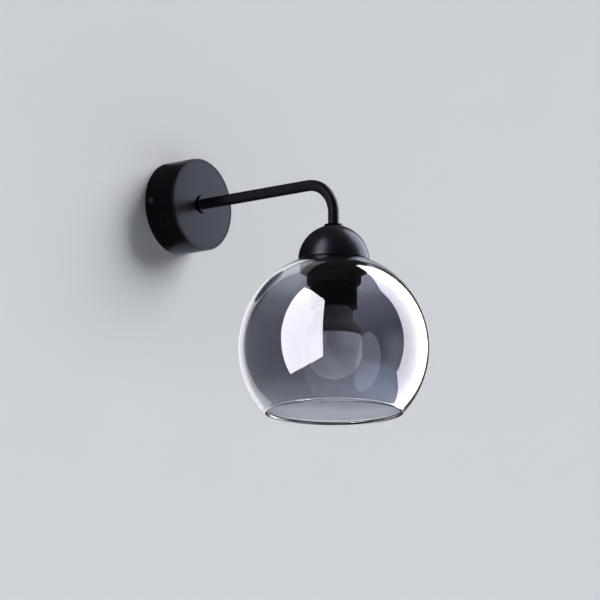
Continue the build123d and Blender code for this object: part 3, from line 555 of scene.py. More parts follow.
def finish_of(
    name, colour, grain, film, dust=0.0, bump=0.0, bump_depth=BUMP_DEPTH, metallic=0.0, ior=1.5
):
    """Surface finish: toned colour, drifting roughness, fine grain and a little settled dust."""
    material, tree, surface = new_finish(name)
    vector = tree.nodes.new("ShaderNodeTexCoord").outputs["Object"]
    grains = place_group(tree, coat_grain, vector, **grain)
    films = place_group(tree, handling_film, vector, **film)
    shown = toned(tree, colour, grains.outputs["Tone"])
    if dust > 0.0:
        layer = place_group(tree, settled_dust, vector, Amount=dust)
        shown = mix_node(tree, layer.outputs["Dust"], MIX_COLOURS, (shown, DUST_COLOUR))
    tree.links.new(shown, surface.inputs["Base Color"])
    tree.links.new(films.outputs["Roughness"], surface.inputs["Roughness"])
    surface.inputs["Metallic"].default_value = metallic
    surface.inputs["IOR"].default_value = ior
    if bump > 0.0:
        relief = tree.nodes.new("ShaderNodeBump")
        relief.inputs["Strength"].default_value = bump
        relief.inputs["Distance"].default_value = bump_depth
        tree.links.new(grains.outputs["Height"], relief.inputs["Height"])
        tree.links.new(relief.outputs[0], surface.inputs["Normal"])
    return material


def smoked_glass_finish(name):
    """Clear blown glass with a smoked film inside: dark round the middle, clearer at mouth and crown."""
    material, tree, surface = new_finish(name)
    vector = tree.nodes.new("ShaderNodeTexCoord").outputs["Object"]
    split = tree.nodes.new("ShaderNodeSeparateXYZ")
    tree.links.new(vector, split.inputs[0])
    level = split.outputs["Z"]
    height = map_range(tree, level, (globe_lo.z, globe_hi.z))
    cloud = noise_in(tree, vector, CLOUD_SCALE, CLOUD_DETAIL)
    wander = math_node(tree, "MULTIPLY", math_node(tree, "SUBTRACT", cloud, 0.5), CLOUD_WANDER)
    smoke = tree.nodes.new("ShaderNodeValToRGB")
    tree.links.new(math_node(tree, "ADD", height, wander), smoke.inputs[0])
    ramp = smoke.color_ramp
    for end in (0, -1):
        ramp.elements[end].position, ramp.elements[end].color = SMOKE[end]
    for place, shade in SMOKE[1:-1]:
        ramp.elements.new(place).color = shade
    from_middle = tree.nodes.new("ShaderNodeVectorMath")
    from_middle.operation = "DISTANCE"
    from_middle.inputs[1].default_value = globe_middle
    tree.links.new(vector, from_middle.inputs[0])
    inside = math_node(tree, "LESS_THAN", from_middle.outputs["Value"], GLASS_R - GLASS_WALL / 2)
    above_bead = math_node(tree, "GREATER_THAN", level, globe_lo.z + 2 * GLASS_BEAD_R)
    coated = math_node(tree, "MULTIPLY", inside, above_bead)
    film = mix_node(tree, coated, MIX_COLOURS, (CLEAR_GLASS, smoke.outputs[0]))
    one_face = tree.nodes.new("ShaderNodeGamma")
    one_face.inputs["Gamma"].default_value = ONE_FACE_GAMMA
    tree.links.new(film, one_face.inputs["Color"])
    tree.links.new(one_face.outputs[0], surface.inputs["Base Color"])
    films = place_group(tree, handling_film, vector, Patch_Scale=14.0, Smooth=0.014, Rough=0.034)
    tree.links.new(films.outputs["Roughness"], surface.inputs["Roughness"])
    surface.inputs["Transmission Weight"].default_value = 1.0
    surface.inputs["IOR"].default_value = GLASS_IOR
    path = tree.nodes.new("ShaderNodeLightPath")
    clear_where(tree, path.outputs["Is Shadow Ray"], SHADOW_TINT)
    return material


def opal_finish(name):
    """Milky plastic of the bulb, which spreads light within its wall."""
    material = finish_of(
        name, (0.62, 0.63, 0.65, 1.0),
        grain={"Grain_Scale": 500.0, "Tone_Low": 0.97, "Tone_High": 1.02},
        film={"Patch_Scale": 60.0, "Smooth": 0.32, "Rough": 0.40},
    )
    surface = material.node_tree.nodes["Principled BSDF"]
    surface.inputs["Subsurface Weight"].default_value = OPAL_GLOW
    surface.inputs["Subsurface Radius"].default_value = (OPAL_GLOW_REACH,) * 3
    return material


def sheath_finish(name, colour):
    """Soft plastic sheath of a lead."""
    return finish_of(
        name, colour,
        grain={"Grain_Scale": 800.0, "Tone_Low": 0.9, "Tone_High": 1.1},
        film={"Patch_Scale": 90.0, "Smooth": 0.38, "Rough": 0.50}, bump=0.1,
    )


finishes = {
    "black_coat": finish_of(
        "black_coat", (0.0035, 0.0038, 0.0058, 1.0),
        grain={"Grain_Scale": 800.0, "Tone_Low": 0.7, "Tone_High": 1.35},
        film={"Patch_Scale": 30.0, "Smooth": 0.23, "Rough": 0.31},
        dust=0.05, bump=0.6, bump_depth=COAT_BUMP_DEPTH,
    ),
    "black_zinc": finish_of(
        "black_zinc", (0.055, 0.056, 0.061, 1.0),
        grain={"Grain_Scale": 900.0, "Tone_Low": 0.8, "Tone_High": 1.2},
        film={"Patch_Scale": 90.0, "Smooth": 0.30, "Rough": 0.42}, bump=0.1,
    ),
    "zinc": finish_of(
        "zinc", (0.55, 0.56, 0.58, 1.0),
        grain={"Grain_Scale": 700.0, "Tone_Low": 0.85, "Tone_High": 1.08},
        film={"Patch_Scale": 90.0, "Smooth": 0.24, "Rough": 0.42}, bump=0.12, metallic=1.0,
    ),
    "brass": finish_of(
        "brass", (0.72, 0.52, 0.24, 1.0),
        grain={"Grain_Scale": 600.0, "Tone_Low": 0.85, "Tone_High": 1.08},
        film={"Patch_Scale": 80.0, "Smooth": 0.22, "Rough": 0.38}, bump=0.1, metallic=1.0,
    ),
    "nickel": finish_of(
        "nickel", (0.66, 0.65, 0.62, 1.0),
        grain={"Grain_Scale": 500.0, "Tone_Low": 0.9, "Tone_High": 1.05},
        film={"Patch_Scale": 80.0, "Smooth": 0.14, "Rough": 0.28}, bump=0.06, metallic=1.0,
    ),
    "black_plastic": finish_of(
        "black_plastic", (0.002, 0.002, 0.0025, 1.0),
        grain={"Grain_Scale": 1100.0, "Tone_Low": 0.8, "Tone_High": 1.2},
        film={"Patch_Scale": 60.0, "Smooth": 0.42, "Rough": 0.56}, bump=0.2, ior=1.3,
    ),
    "white_moulding": finish_of(
        "white_moulding", (0.80, 0.79, 0.75, 1.0),
        grain={"Grain_Scale": 900.0, "Tone_Low": 0.94, "Tone_High": 1.03},
        film={"Patch_Scale": 70.0, "Smooth": 0.40, "Rough": 0.52}, bump=0.15,
    ),
    "smoked_glass": smoked_glass_finish("smoked_glass"),
    "opal": opal_finish("opal"),
    "bulb_plastic": finish_of(
        "bulb_plastic", (0.10, 0.097, 0.094, 1.0),
        grain={"Grain_Scale": 1000.0, "Tone_Low": 0.9, "Tone_High": 1.08},
        film={"Patch_Scale": 60.0, "Smooth": 0.36, "Rough": 0.46}, bump=0.12,
    ),
    "black_glaze": finish_of(
        "black_glaze", (0.02, 0.02, 0.022, 1.0),
        grain={"Grain_Scale": 300.0, "Tone_Low": 0.85, "Tone_High": 1.15},
        film={"Patch_Scale": 50.0, "Smooth": 0.08, "Rough": 0.16},
    ),
    "live_sheath": sheath_finish("live_sheath", (0.17, 0.062, 0.022, 1.0)),
    "neutral_sheath": sheath_finish("neutral_sheath", (0.035, 0.12, 0.42, 1.0)),
    "earth_sheath": sheath_finish("earth_sheath", (0.22, 0.42, 0.05, 1.0)),
    "board": finish_of(
        "board", (0.74, 0.75, 0.74, 1.0),
        grain={"Grain_Scale": 400.0, "Tone_Low": 0.92, "Tone_High": 1.05},
        film={"Patch_Scale": 60.0, "Smooth": 0.40, "Rough": 0.55}, bump=0.1,
    ),
    "circuit_board": finish_of(
        "circuit_board", (0.03, 0.17, 0.07, 1.0),
        grain={"Grain_Scale": 700.0, "Tone_Low": 0.8, "Tone_High": 1.15},
        film={"Patch_Scale": 60.0, "Smooth": 0.26, "Rough": 0.40}, bump=0.1,
    ),
}


# Pieces

def settle(piece, body, node, slot):
    """Puts a finished piece on its body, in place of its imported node."""
    if not piece.data.materials:
        piece.data.materials.append(finishes[slot])
    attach(piece, body)
    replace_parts(piece, node)
    return piece


def canopy_shell():
    """Deep drawn cup with a fine pressed line round its front edge."""
    r, depth = CANOPY_R, -canopy_lo.y
    line_r = r - CANOPY_RIM
    line_in = line_r - CANOPY_GROOVE_W
    corners = [
        (r, 0.0, 0.0),
        (r, depth, CANOPY_EDGE),
        (line_r, depth, CANOPY_GROOVE_DEPTH / 3),
        ((line_r + line_in) / 2, depth - CANOPY_GROOVE_DEPTH, CANOPY_GROOVE_DEPTH / 4),
        (line_in, depth, CANOPY_GROOVE_DEPTH / 3),
        (ARM_HOLE_R, depth, 0.0),
        (ARM_HOLE_R, depth - CANOPY_WALL, 0.0),
        (r - CANOPY_WALL, depth - CANOPY_WALL, CANOPY_WALL / 2),
        (r - CANOPY_WALL, 0.0, 0.0),
    ]
    piece = turned("canopy_shell", softened(corners), point=canopy_point)
    return settle(piece, "fixture", "canopy_cup", "black_coat")


def dome_shell():
    """Spun half ball with a softened rim and a flat seat for the collar."""
    rim, top = dome_lo.z, dome_hi.z
    inner_r = DOME_R - DOME_WALL
    seat = acos((top - rim) / DOME_R)
    inner_seat = acos((top - DOME_WALL - rim) / inner_r)
    outline = arc((0.0, rim), DOME_R, DOME_EDGE / DOME_R, pi / 2 - seat, DOME_STEPS)
    outline += [(ARM_HOLE_R, top), (ARM_HOLE_R, top - DOME_WALL)]
    outline += arc((0.0, rim), inner_r, pi / 2 - inner_seat, DOME_EDGE / inner_r, DOME_STEPS)
    edge = rim + DOME_EDGE
    outline += arc((inner_r + DOME_EDGE, edge), DOME_EDGE, pi, 1.5 * pi, CORNER_STEPS)[1:]
    outline += arc((DOME_R - DOME_EDGE, edge), DOME_EDGE, -pi / 2, 0.0, CORNER_STEPS)[:-1]
    piece = turned("dome_shell", outline)
    return settle(piece, "fixture", "dome_cap", "black_coat")


def globe_glass():
    """Blown ball with a rounded lip at the crown and a fire-polished bead round the mouth."""
    mid_r = GLASS_R - GLASS_WALL / 2
    inner_r = GLASS_R - GLASS_WALL
    crown = asin((GLASS_HOLE_R + GLASS_WALL / 2) / mid_r)
    mouth = asin(GLASS_MOUTH_R / mid_r)
    meet = asin(GLASS_WALL / 2 / GLASS_BEAD_R)
    bead_end = mouth + GLASS_BEAD_R * cos(meet) / mid_r
    centre = (0.0, globe_z)
    outline = arc(centre, GLASS_R, pi / 2 - crown, bead_end - pi / 2, GLASS_STEPS)
    bead = (mid_r * sin(mouth), globe_z - mid_r * cos(mouth))
    outline += arc(bead, GLASS_BEAD_R, mouth - meet, mouth + meet - 2 * pi, BEAD_STEPS)
    outline += arc(centre, inner_r, bead_end - pi / 2, pi / 2 - crown, GLASS_STEPS)
    lip = (mid_r * sin(crown), globe_z + mid_r * cos(crown))
    outline += arc(lip, GLASS_WALL / 2, -pi / 2 - crown, -1.5 * pi - crown, LIP_STEPS)[1:-1]
    piece = turned("globe_glass", outline, segments=GLASS_SEGMENTS)
    return settle(piece, "globe", "glass_shade", "smoked_glass")


def fade(z, low, high, length):
    """Share of a form's depth at a level, running out softly at both ends."""
    return max(0.0, min(1.0, (z - low) / length, (high - z) / length))


def threaded_skirt():
    """Lower half of the lampholder, with the outer thread for the shade ring."""
    top, foot = skirt_hi.z, skirt_lo.z
    side = rows_between(SHADE_THREAD_R, top, foot, SHADE_ROW)
    rest = [
        (SKIRT_BORE_R, foot),
        (SKIRT_BORE_R, top - SKIRT_SOCKET_DEPTH),
        (SKIRT_SOCKET_R, top - SKIRT_SOCKET_DEPTH),
        (SKIRT_SOCKET_R, top),
    ]
    reach = [fade(z, foot, top, SHADE_PITCH / 2) for _, z in side] + [0.0] * len(rest)
    piece = turned("threaded_skirt", side + rest, reach=reach)
    sizes = {"Pitch": SHADE_PITCH, "Depth": SHADE_THREAD_DEPTH, "Straight Sides": SHADE_THREAD_STRAIGHT}
    formed(piece, screw_thread, finishes["black_plastic"], sizes)
    return settle(piece, "fixture", "holder_skirt", "black_plastic")


def clamp_ring():
    """Moulded ring: sloping flange under the globe, ribbed hub and plain bore."""
    top, foot = ring_hi.z, ring_lo.z
    glass_ri = GLASS_R - GLASS_WALL
    edge = top - sqrt(glass_ri**2 - RING_HUB_R**2) + sqrt(glass_ri**2 - RING_R**2)
    under = edge - RING_EDGE_T
    hub_top = under - RING_UNDER_T
    flange = softened(
        [
            (RING_BORE_R, top, 0.0),
            (RING_HUB_R, top, RING_LIP / 2),
            (RING_R, edge, RING_LIP),
            (RING_R, under, RING_LIP),
            (RING_HUB_R + RING_LIP, hub_top, RING_LIP / 2),
            (RING_HUB_R, hub_top, 0.0),
        ]
    )[1:]
    hub = rows_between(RING_HUB_R, hub_top, foot, HUB_ROW)[1:]
    bore = rows_between(RING_BORE_R, foot, top, SHADE_ROW)
    ribbed = [0.0] * len(flange)
    ribbed += [fade(z, foot, hub_top, RING_RIB_H) for _, z in hub]
    ribbed += [0.0] * len(bore)
    piece = turned("clamp_ring", flange + hub + bore, reach=ribbed)
    sizes = {"Ribs": float(RING_RIBS), "Height": RING_RIB_H, "Narrowness": RING_RIB_NARROWNESS}
    formed(piece, grip_ribs, finishes["black_plastic"], sizes)
    return settle(piece, "ring", "shade_ring", "black_plastic")


def rolled_shell():
    """Thin brass shell with the rolled thread that takes the bulb."""
    top, foot = shell_hi.z, shell_lo.z
    shoulder = top - SHELL_T
    outer = rows_between(SHELL_R, top, foot, BASE_ROW)
    inner = rows_between(SHELL_R - SHELL_T, foot, shoulder, BASE_ROW)
    neck = [(SHELL_HOLE_R, shoulder), (SHELL_HOLE_R, top)]
    reach = [fade(z, foot, shoulder, BASE_PITCH / 2) for _, z in outer + inner] + [0.0] * len(neck)
    piece = turned("rolled_shell", outer + inner + neck, reach=reach)
    sizes = {"Pitch": BASE_PITCH, "Depth": SHELL_THREAD_DEPTH, "Straight Sides": ROLLED_THREAD_STRAIGHT}
    formed(piece, screw_thread, finishes["brass"], sizes)
    return settle(piece, "fixture", "screw_shell", "brass")


def rolled_base():
    """Bulb's screw base: thin nickelled shell with a rolled thread."""
    top, foot = base_hi.z, base_lo.z
    shoulder = top - BASE_LIP
    outer = rows_between(BASE_R, shoulder, foot, BASE_ROW)
    inner = rows_between(BASE_R - BASE_WALL, foot, shoulder - BASE_WALL / 2, BASE_ROW)
    crown = [
        (BASE_TOP_R - BASE_WALL / 2, top - BASE_WALL),
        (BASE_TOP_R - BASE_LIP, top - BASE_WALL),
        (BASE_TOP_R - BASE_LIP, top),
        (BASE_TOP_R, top),
    ]
    reach = [fade(z, foot, shoulder, BASE_PITCH / 2) for _, z in outer]
    reach += [0.0] * (len(inner) + len(crown))
    piece = turned("rolled_base", outer + inner + crown, reach=reach)
    sizes = {"Pitch": BASE_PITCH, "Depth": BASE_THREAD_DEPTH, "Straight Sides": ROLLED_THREAD_STRAIGHT}
    formed(piece, screw_thread, finishes["nickel"], sizes)
    return settle(piece, "bulb", "bulb_cap", "nickel")


def bulb_neck():
    """Plastic neck of the bulb: plug, shoulder, flare in two arcs and a grooved collar."""
    plug_top, foot = housing_hi.z, housing_lo.z
    neck_top = base_lo.z
    neck = neck_top - SHOULDER_H
    flare = neck - NECK_LEN
    collar = flare - FLARE_H
    step_r, step_z = (COLLAR_R - NECK_R) / 2, FLARE_H / 2
    sweep = (step_z**2 + step_r**2) / (2 * step_r)
    turn = asin(step_z / sweep)
    groove = (collar + foot) / 2
    outline = [
        (PLUG_R - PLUG_WALL, plug_top),
        (PLUG_R, plug_top),
        (PLUG_R, neck_top),
        (BASE_R, neck_top),
        (NECK_R - NECK_EDGE, neck + NECK_EDGE / 2),
        (NECK_R, neck - NECK_EDGE / 2),
    ]
    outline += arc((NECK_R + sweep, flare), sweep, pi, pi + turn, FLARE_STEPS)
    outline += arc((COLLAR_R - sweep, collar), sweep, turn, 0.0, FLARE_STEPS)[1:]
    outline += [
        (COLLAR_R, groove + COLLAR_GROOVE),
        (COLLAR_R - COLLAR_GROOVE, groove),
        (COLLAR_R, groove - COLLAR_GROOVE),
        (COLLAR_R, foot),
        (LED_SEAT_R, foot),
        (LED_SEAT_R, foot + LED_BOARD_T),
        (LED_SEAT_R - LED_LEDGE, foot + LED_BOARD_T),
        (NECK_R - NECK_WALL, flare),
        (NECK_R - NECK_WALL, neck),
        (PLUG_R - PLUG_WALL, neck_top),
    ]
    piece = turned("bulb_neck", outline)
    return settle(piece, "bulb", "bulb_housing", "bulb_plastic")


def opal_ball():
    """Opal lower half of the bulb, with its wall; both arcs end on the lamp axis."""
    top = opal_hi.z
    ball = top - BALL_SIDE_H
    outer = arc((0.0, ball), BALL_R, 0.0, -pi / 2, BALL_STEPS)
    inner = arc((0.0, ball), BALL_R - OPAL_T, -pi / 2, 0.0, BALL_STEPS)
    outer[-1] = (0.0, ball - BALL_R)
    inner[0] = (0.0, ball - BALL_R + OPAL_T)
    piece = turned("opal_ball", [(COLLAR_R - OPAL_T, top), (COLLAR_R, top)] + outer + inner)
    return settle(piece, "bulb", "bulb_diffuser", "opal")


def dress(node, slot):
    """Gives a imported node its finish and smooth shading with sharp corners, on its mesh as it is."""
    piece = frame["nodes"][node]
    if not piece.material_slots:
        piece.data.materials.append(finishes[slot])
    for place in piece.material_slots:
        place.material = finishes[slot]
    piece.data.shade_smooth()
    weld = piece.modifiers.new("weld", "WELD")
    weld.merge_threshold = WELD_REACH
    split = piece.modifiers.new("corners", "EDGE_SPLIT")
    split.split_angle = SHARP_ANGLE


made = [
    canopy_shell(), dome_shell(), globe_glass(), threaded_skirt(), clamp_ring(),
    rolled_shell(), rolled_base(), bulb_neck(), opal_ball(),
]
stood_for = {node for piece in made for node in piece["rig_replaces"]}
for part in frame["record"]["subparts"]:
    if part["node"] not in stood_for:
        dress(part["node"], part["material_slot"])


# Studio: pale wall, pale floor far below, and pale paper round the sides

STUDIO_HALF = 9.0
STUDIO_ABOVE = 6.0
WALL_BEHIND = 0.2 * MM
WALL_ABOVE = 0.36
FLOOR_BELOW = 1.75
STAGE_COLOUR = (0.785, 0.805, 0.84, 1.0)
FLOOR_COLOUR = (0.64, 0.655, 0.68, 1.0)
# Painted dark reflection: the far floor shows near black where a mirroring surface sees it
FLOOR_PAINTED_DARK_REFLECTION = (0.02, 0.02, 0.021, 1.0)
STAGE_ROUGHNESS = 0.9
MOTTLE_SCALE = 2.5
MOTTLE_DETAIL = 4.0
MOTTLE_TONES = 0.985, 1.015
# Distances over which mirrors come to see the stage in its painted reflection colour
FADE_NEAR = 1.8
FADE_FAR = 7.5
PAPER_COLOUR = (0.60, 0.62, 0.65, 1.0)
WORLD_COLOUR = (0.80, 0.82, 0.86, 1.0)
WORLD_STRENGTH = 0.03

# Black card at the wall on the right, seen only through the glass, for a dark line along the globe's edge
FLAG_FROM, FLAG_TO = 0.42, 1.60
FLAG_LOW, FLAG_HIGH = -0.80, 0.50
FLAG_STAND = -10.0 * MM
FLAG_COLOUR = (0.01, 0.01, 0.011, 1.0)


def mirrored(tree):
    """1 where a surface is seen by way of a mirroring one, 0 where it is seen plainly or through glass."""
    path = tree.nodes.new("ShaderNodeLightPath")
    return math_node(tree, "MINIMUM", path.outputs["Glossy Depth"], 1.0)


def stage_finish(name, colour, painted_far_reflection):
    """Matt paint, with a painted reflection colour where a mirror sees it far off, clear from behind so that
    the lamp's back can be seen.
    """
    material, tree, surface = new_finish(name)
    place = tree.nodes.new("ShaderNodeTexCoord").outputs["Object"]
    away = tree.nodes.new("ShaderNodeVectorMath")
    away.operation = "LENGTH"
    tree.links.new(place, away.inputs[0])
    fall = map_range(tree, away.outputs["Value"], (FADE_NEAR, FADE_FAR), interpolation="SMOOTHSTEP")
    # Painted reflection: far off, what a mirror sees of the sheet takes the painted reflection colour
    share = math_node(tree, "MULTIPLY", fall, mirrored(tree))
    mottle = noise_in(tree, place, MOTTLE_SCALE, MOTTLE_DETAIL)
    tone = map_range(tree, mottle, (0.0, 1.0), MOTTLE_TONES)
    shown = mix_node(tree, share, MIX_COLOURS, (toned(tree, colour, tone), painted_far_reflection))
    tree.links.new(shown, surface.inputs["Base Color"])
    surface.inputs["Roughness"].default_value = STAGE_ROUGHNESS
    surface.inputs["Specular IOR Level"].default_value = 0.0
    facing = tree.nodes.new("ShaderNodeNewGeometry")
    clear_where(tree, facing.outputs["Backfacing"], FULLY_CLEAR)
    return material


def paper_finish(name, colour):
    """Evenly lit backdrop paper that nothing mirrors."""
    material, tree, surface = new_finish(name)
    surface.inputs["Base Color"].default_value = BLACK
    surface.inputs["Specular IOR Level"].default_value = 0.0
    surface.inputs["Emission Color"].default_value = colour
    plain = math_node(tree, "SUBTRACT", 1.0, mirrored(tree))
    tree.links.new(plain, surface.inputs["Emission Strength"])
    return material


def hide_from(item, *rays):
    """Keeps an object or light out of the given kinds of ray."""
    for ray in rays:
        setattr(item, "visible_" + ray, False)


def stage_sheet(name, corners, material):
    """Flat backdrop, facing the way its corners turn."""
    mesh = bpy.data.meshes.new(name)
    mesh.from_pydata(corners, [], [(0, 1, 2, 3)])
    mesh.materials.append(material)
    sheet = bpy.data.objects.new(name, mesh)
    scene.collection.objects.link(sheet)
    return sheet


def upright(x_from, x_to, y, low, high):
    """Corners of an upright sheet that faces the front."""
    return [(x_from, y, low), (x_to, y, low), (x_to, y, high), (x_from, y, high)]


def level_floor(half, back, level):
    """Corners of a level sheet that faces up and ends at the back."""
    return [(-half, -half, level), (half, -half, level), (half, back, level), (-half, back, level)]


def backdrop_room(material):
    """Pale paper on the sides of the studio, shown behind the lamp and lighting nothing."""
    low, high = -STUDIO_HALF, STUDIO_HALF
    foot, top = -FLOOR_BELOW, STUDIO_ABOVE
    ends = ((low, low), (high, low), (high, high), (low, high))
    for k, (x, y) in enumerate(ends):
        x_next, y_next = ends[(k + 1) % len(ends)]
        corners = [(x, y, foot), (x, y, top), (x_next, y_next, top), (x_next, y_next, foot)]
        side = stage_sheet("paper_side_%d" % (k + 1), corners, material)
        hide_from(side, "diffuse", "glossy", "shadow")


paint = stage_finish("pale_paint", STAGE_COLOUR, STAGE_COLOUR)
floor_paint = stage_finish("floor_paint", FLOOR_COLOUR, FLOOR_PAINTED_DARK_REFLECTION)
black_card = stage_finish("black_card", FLAG_COLOUR, FLAG_COLOUR)
wall = stage_sheet("wall", upright(-STUDIO_HALF, STUDIO_HALF, WALL_BEHIND, -FLOOR_BELOW, WALL_ABOVE), paint)
hide_from(wall, "glossy")
stage_sheet("floor", level_floor(STUDIO_HALF, WALL_BEHIND, -FLOOR_BELOW), floor_paint)
backdrop_room(paper_finish("backdrop_paper", PAPER_COLOUR))
flag = stage_sheet("edge_flag", upright(FLAG_FROM, FLAG_TO, FLAG_STAND, FLAG_LOW, FLAG_HIGH), black_card)
hide_from(flag, "camera", "diffuse", "glossy", "shadow")

world = bpy.data.worlds.new("studio")
scene.world = world
world.use_nodes = True
backdrop = world.node_tree.nodes["Background"]
backdrop.inputs["Color"].default_value = WORLD_COLOUR
backdrop.inputs["Strength"].default_value = WORLD_STRENGTH


# Lights: a wide sun from the right and above, and soft lights that fall on a few pieces each

PANEL_COLOUR = (0.93, 0.915, 1.0)
GLOW_COLOUR = (0.74, 0.80, 1.0)
LOW_COLOUR = (0.45, 0.60, 1.0)
PANEL_STEP = 2.0 * MM
EDGE_SHARE = 0.42
KEY_STRENGTH = 4.06
KEY_SPREAD = radians(48.0)
KEY_DIRECTION = (-1.03, 0.64, -0.91)

# Places of the soft lights, each a corner and two edges
RIGHT_PLACE = (1.0, -1.39, -0.78), (0.0, 1.385, 0.0), (0.0, 0.0, 2.65)
LEFT_PLACE = (-0.40, -0.011, -0.415), (-0.27, -0.484, 0.0), (0.0, 0.0, 1.022)
LENS_PLACE = (-0.29, -1.20, -1.78), (0.64, 0.0, 0.094), (-0.25, 0.0, 1.75)
DOME_PLACE = (-0.40, -0.011, -0.415), (-0.14, -0.25, 0.0), (0.0, 0.0, 1.022)
REAR_PLACE = (-0.045, 0.002, -0.30), (0.155, 0.0, 0.0), (0.0, 0.0, 0.55)
ARM_PLACE = (-0.90, -0.004, -0.60), (0.85, 0.0, 0.0), (0.0, 0.0, 1.2)
EDGE_PLACE = (-0.80, -0.32, -0.15), (0.0, 0.28, 0.0), (0.0, 0.0, 1.2)
SIDE_PLACE = (0.004, 0.001, -0.50), (0.72, 0.0, 0.0), (0.0, 0.0, 1.0)
FRONT_PLACE = (-0.60, -1.15, -0.25), (0.80, -0.45, 0.0), (0.0, 0.0, 0.95)
LOW_PLACE = (-1.60, -4.60, -1.70), (5.20, 0.0, 0.0), (0.0, 4.50, 0.0)
RIGHT_FRONT_PLACE = (0.10, -2.60, -1.60), (2.20, 0.60, 0.0), (0.0, 0.0, 2.30)

# Pieces that the lights fall on
GLASS = ("globe_glass",)
CANOPY = ("canopy_shell", "canopy_collar", "canopy_screws")
CANOPY_SIDE = ("canopy_shell", "canopy_screws")
STEM = ("arm_tube", "dome_collar", "dome_shell")
BULB = ("bulb_neck", "opal_ball")

# Soft lights: name, place, radiance, colour and the pieces that each falls on
SOFT_LIGHTS = (
    ("right_panel", RIGHT_PLACE, 10.0, PANEL_COLOUR, GLASS),
    ("left_panel", LEFT_PLACE, 20.0, PANEL_COLOUR, GLASS),
    ("lens_card", LENS_PLACE, 1.4, GLOW_COLOUR, GLASS),
    ("rear_card", REAR_PLACE, 1.3, PANEL_COLOUR, GLASS),
    ("low_card", LOW_PLACE, 2.0, LOW_COLOUR, GLASS),
    ("front_card", RIGHT_FRONT_PLACE, 1.3, GLOW_COLOUR, GLASS),
    ("canopy_glow", RIGHT_PLACE, 1.5, GLOW_COLOUR, CANOPY),
    ("canopy_edge", EDGE_PLACE, 1.6, GLOW_COLOUR, ("canopy_shell",)),
    ("canopy_side", SIDE_PLACE, 0.4, GLOW_COLOUR, CANOPY_SIDE),
    ("stem_glow", RIGHT_PLACE, 3.4, GLOW_COLOUR, STEM),
    ("arm_glow", LEFT_PLACE, 0.6, GLOW_COLOUR, ("arm_tube",)),
    ("arm_card", ARM_PLACE, 0.28, GLOW_COLOUR, ("arm_tube",)),
    ("dome_glow", DOME_PLACE, 4.0, GLOW_COLOUR, ("dome_shell",)),
    ("bulb_glow", LEFT_PLACE, 2.4, PANEL_COLOUR, BULB),
    ("bulb_front", FRONT_PLACE, 5.0, PANEL_COLOUR, BULB),
)
OVAL_LIGHTS = ("lens_card",)
SOFT_EDGED_LIGHTS = ("low_card", "front_card")


def soft_panel(name, corner, across, rise, radiance, colour, order):
    """Soft light spanned from a corner by two edges, facing the lamp, stepped back by its order."""
    light = bpy.data.lights.new(name, "AREA")
    light.shape = "ELLIPSE" if name in OVAL_LIGHTS else "RECTANGLE"
    span, height = Vector(across), Vector(rise)
    light.size, light.size_y = span.length, height.length
    light.energy = radiance * pi * span.length * height.length
    light.color = colour
    panel = bpy.data.objects.new(name, light)
    panel.location = Vector(corner) + span / 2 + height / 2
    facing = span.cross(height).normalized()
    if facing.dot(globe_middle - panel.location) < 0.0:
        facing = -facing
    else:
        span = -span
    panel.location -= facing * PANEL_STEP * order
    panel.rotation_mode = "QUATERNION"
    turn = Matrix((span.normalized(), height.normalized(), -facing)).transposed()
    panel.rotation_quaternion = turn.to_quaternion()
    hide_from(panel, "camera")
    scene.collection.objects.link(panel)
    return panel


def soft_edges(light):
    """Lets a light die away towards its edges, like cloth lit from its middle."""
    light.use_nodes = True
    tree = light.node_tree
    place = tree.nodes.new("ShaderNodeNewGeometry").outputs["Parametric"]
    split = tree.nodes.new("ShaderNodeSeparateXYZ")
    tree.links.new(place, split.inputs[0])
    shares = []
    for along in ("X", "Y"):
        from_edge = math_node(tree, "PINGPONG", split.outputs[along], 0.5)
        shares.append(map_range(tree, from_edge, (0.0, EDGE_SHARE), interpolation="SMOOTHSTEP"))
    strength = math_node(tree, "MULTIPLY", *shares)
    tree.links.new(strength, tree.nodes["Emission"].inputs["Strength"])


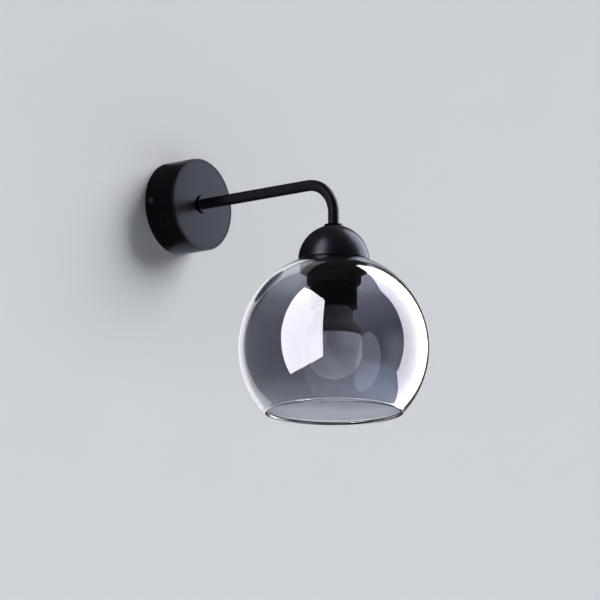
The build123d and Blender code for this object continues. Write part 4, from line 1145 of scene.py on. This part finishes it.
def group_of(name, piece_names):
    """Collection of pieces, made here or kept from the frame, for a light to fall on or be stopped by."""
    group = bpy.data.collections.new(name)
    by_name = {piece.name: piece for piece in made}
    for piece_name in piece_names:
        group.objects.link(by_name[piece_name] if piece_name in by_name else frame["nodes"][piece_name])
    return group


for order, (name, place, radiance, colour, lit) in enumerate(SOFT_LIGHTS):
    panel = soft_panel(name, *place, radiance, colour, order)
    panel.light_linking.receiver_collection = group_of(name + "_falls_on", lit)
    if lit == GLASS:
        hide_from(panel, "transmission")
    if name in SOFT_EDGED_LIGHTS:
        soft_edges(panel.data)

key = bpy.data.lights.new("key", "SUN")
key.energy = KEY_STRENGTH
key.angle = KEY_SPREAD
key_light = bpy.data.objects.new("key", key)
key_light.rotation_mode = "QUATERNION"
key_light.rotation_quaternion = Vector(KEY_DIRECTION).to_track_quat("-Z", "Y")
key_light.light_linking.blocker_collection = group_of("key_shade", CANOPY)
hide_from(key_light, "glossy", "transmission")
scene.collection.objects.link(key_light)

# Plain tones, and enough bounces for the light that runs round inside the glass edge
EDGE_BOUNCES = 32
scene.view_settings.view_transform = "Standard"
scene.cycles.caustics_reflective = False
scene.cycles.caustics_refractive = False
scene.cycles.max_bounces = EDGE_BOUNCES
scene.cycles.glossy_bounces = EDGE_BOUNCES
scene.cycles.transmission_bounces = EDGE_BOUNCES


# Camera

forward = Vector(
    (sin(CAMERA_YAW) * cos(CAMERA_PITCH), cos(CAMERA_YAW) * cos(CAMERA_PITCH), sin(CAMERA_PITCH))
)
right = Vector((cos(CAMERA_YAW), -sin(CAMERA_YAW), 0.0))
up = right.cross(forward)
aim = globe_middle + right * AIM_RIGHT + up * AIM_UP
camera_data = bpy.data.cameras.new("camera")
camera_data.lens = CAMERA_LENS
camera_data.sensor_width = CAMERA_SENSOR
camera_data.clip_end = CAMERA_REACH
camera = bpy.data.objects.new("camera", camera_data)
camera.location = aim - forward * CAMERA_DISTANCE
camera.rotation_mode = "QUATERNION"
camera.rotation_quaternion = forward.to_track_quat("-Z", "Y")
scene.collection.objects.link(camera)
bpy.context.scene.camera = camera
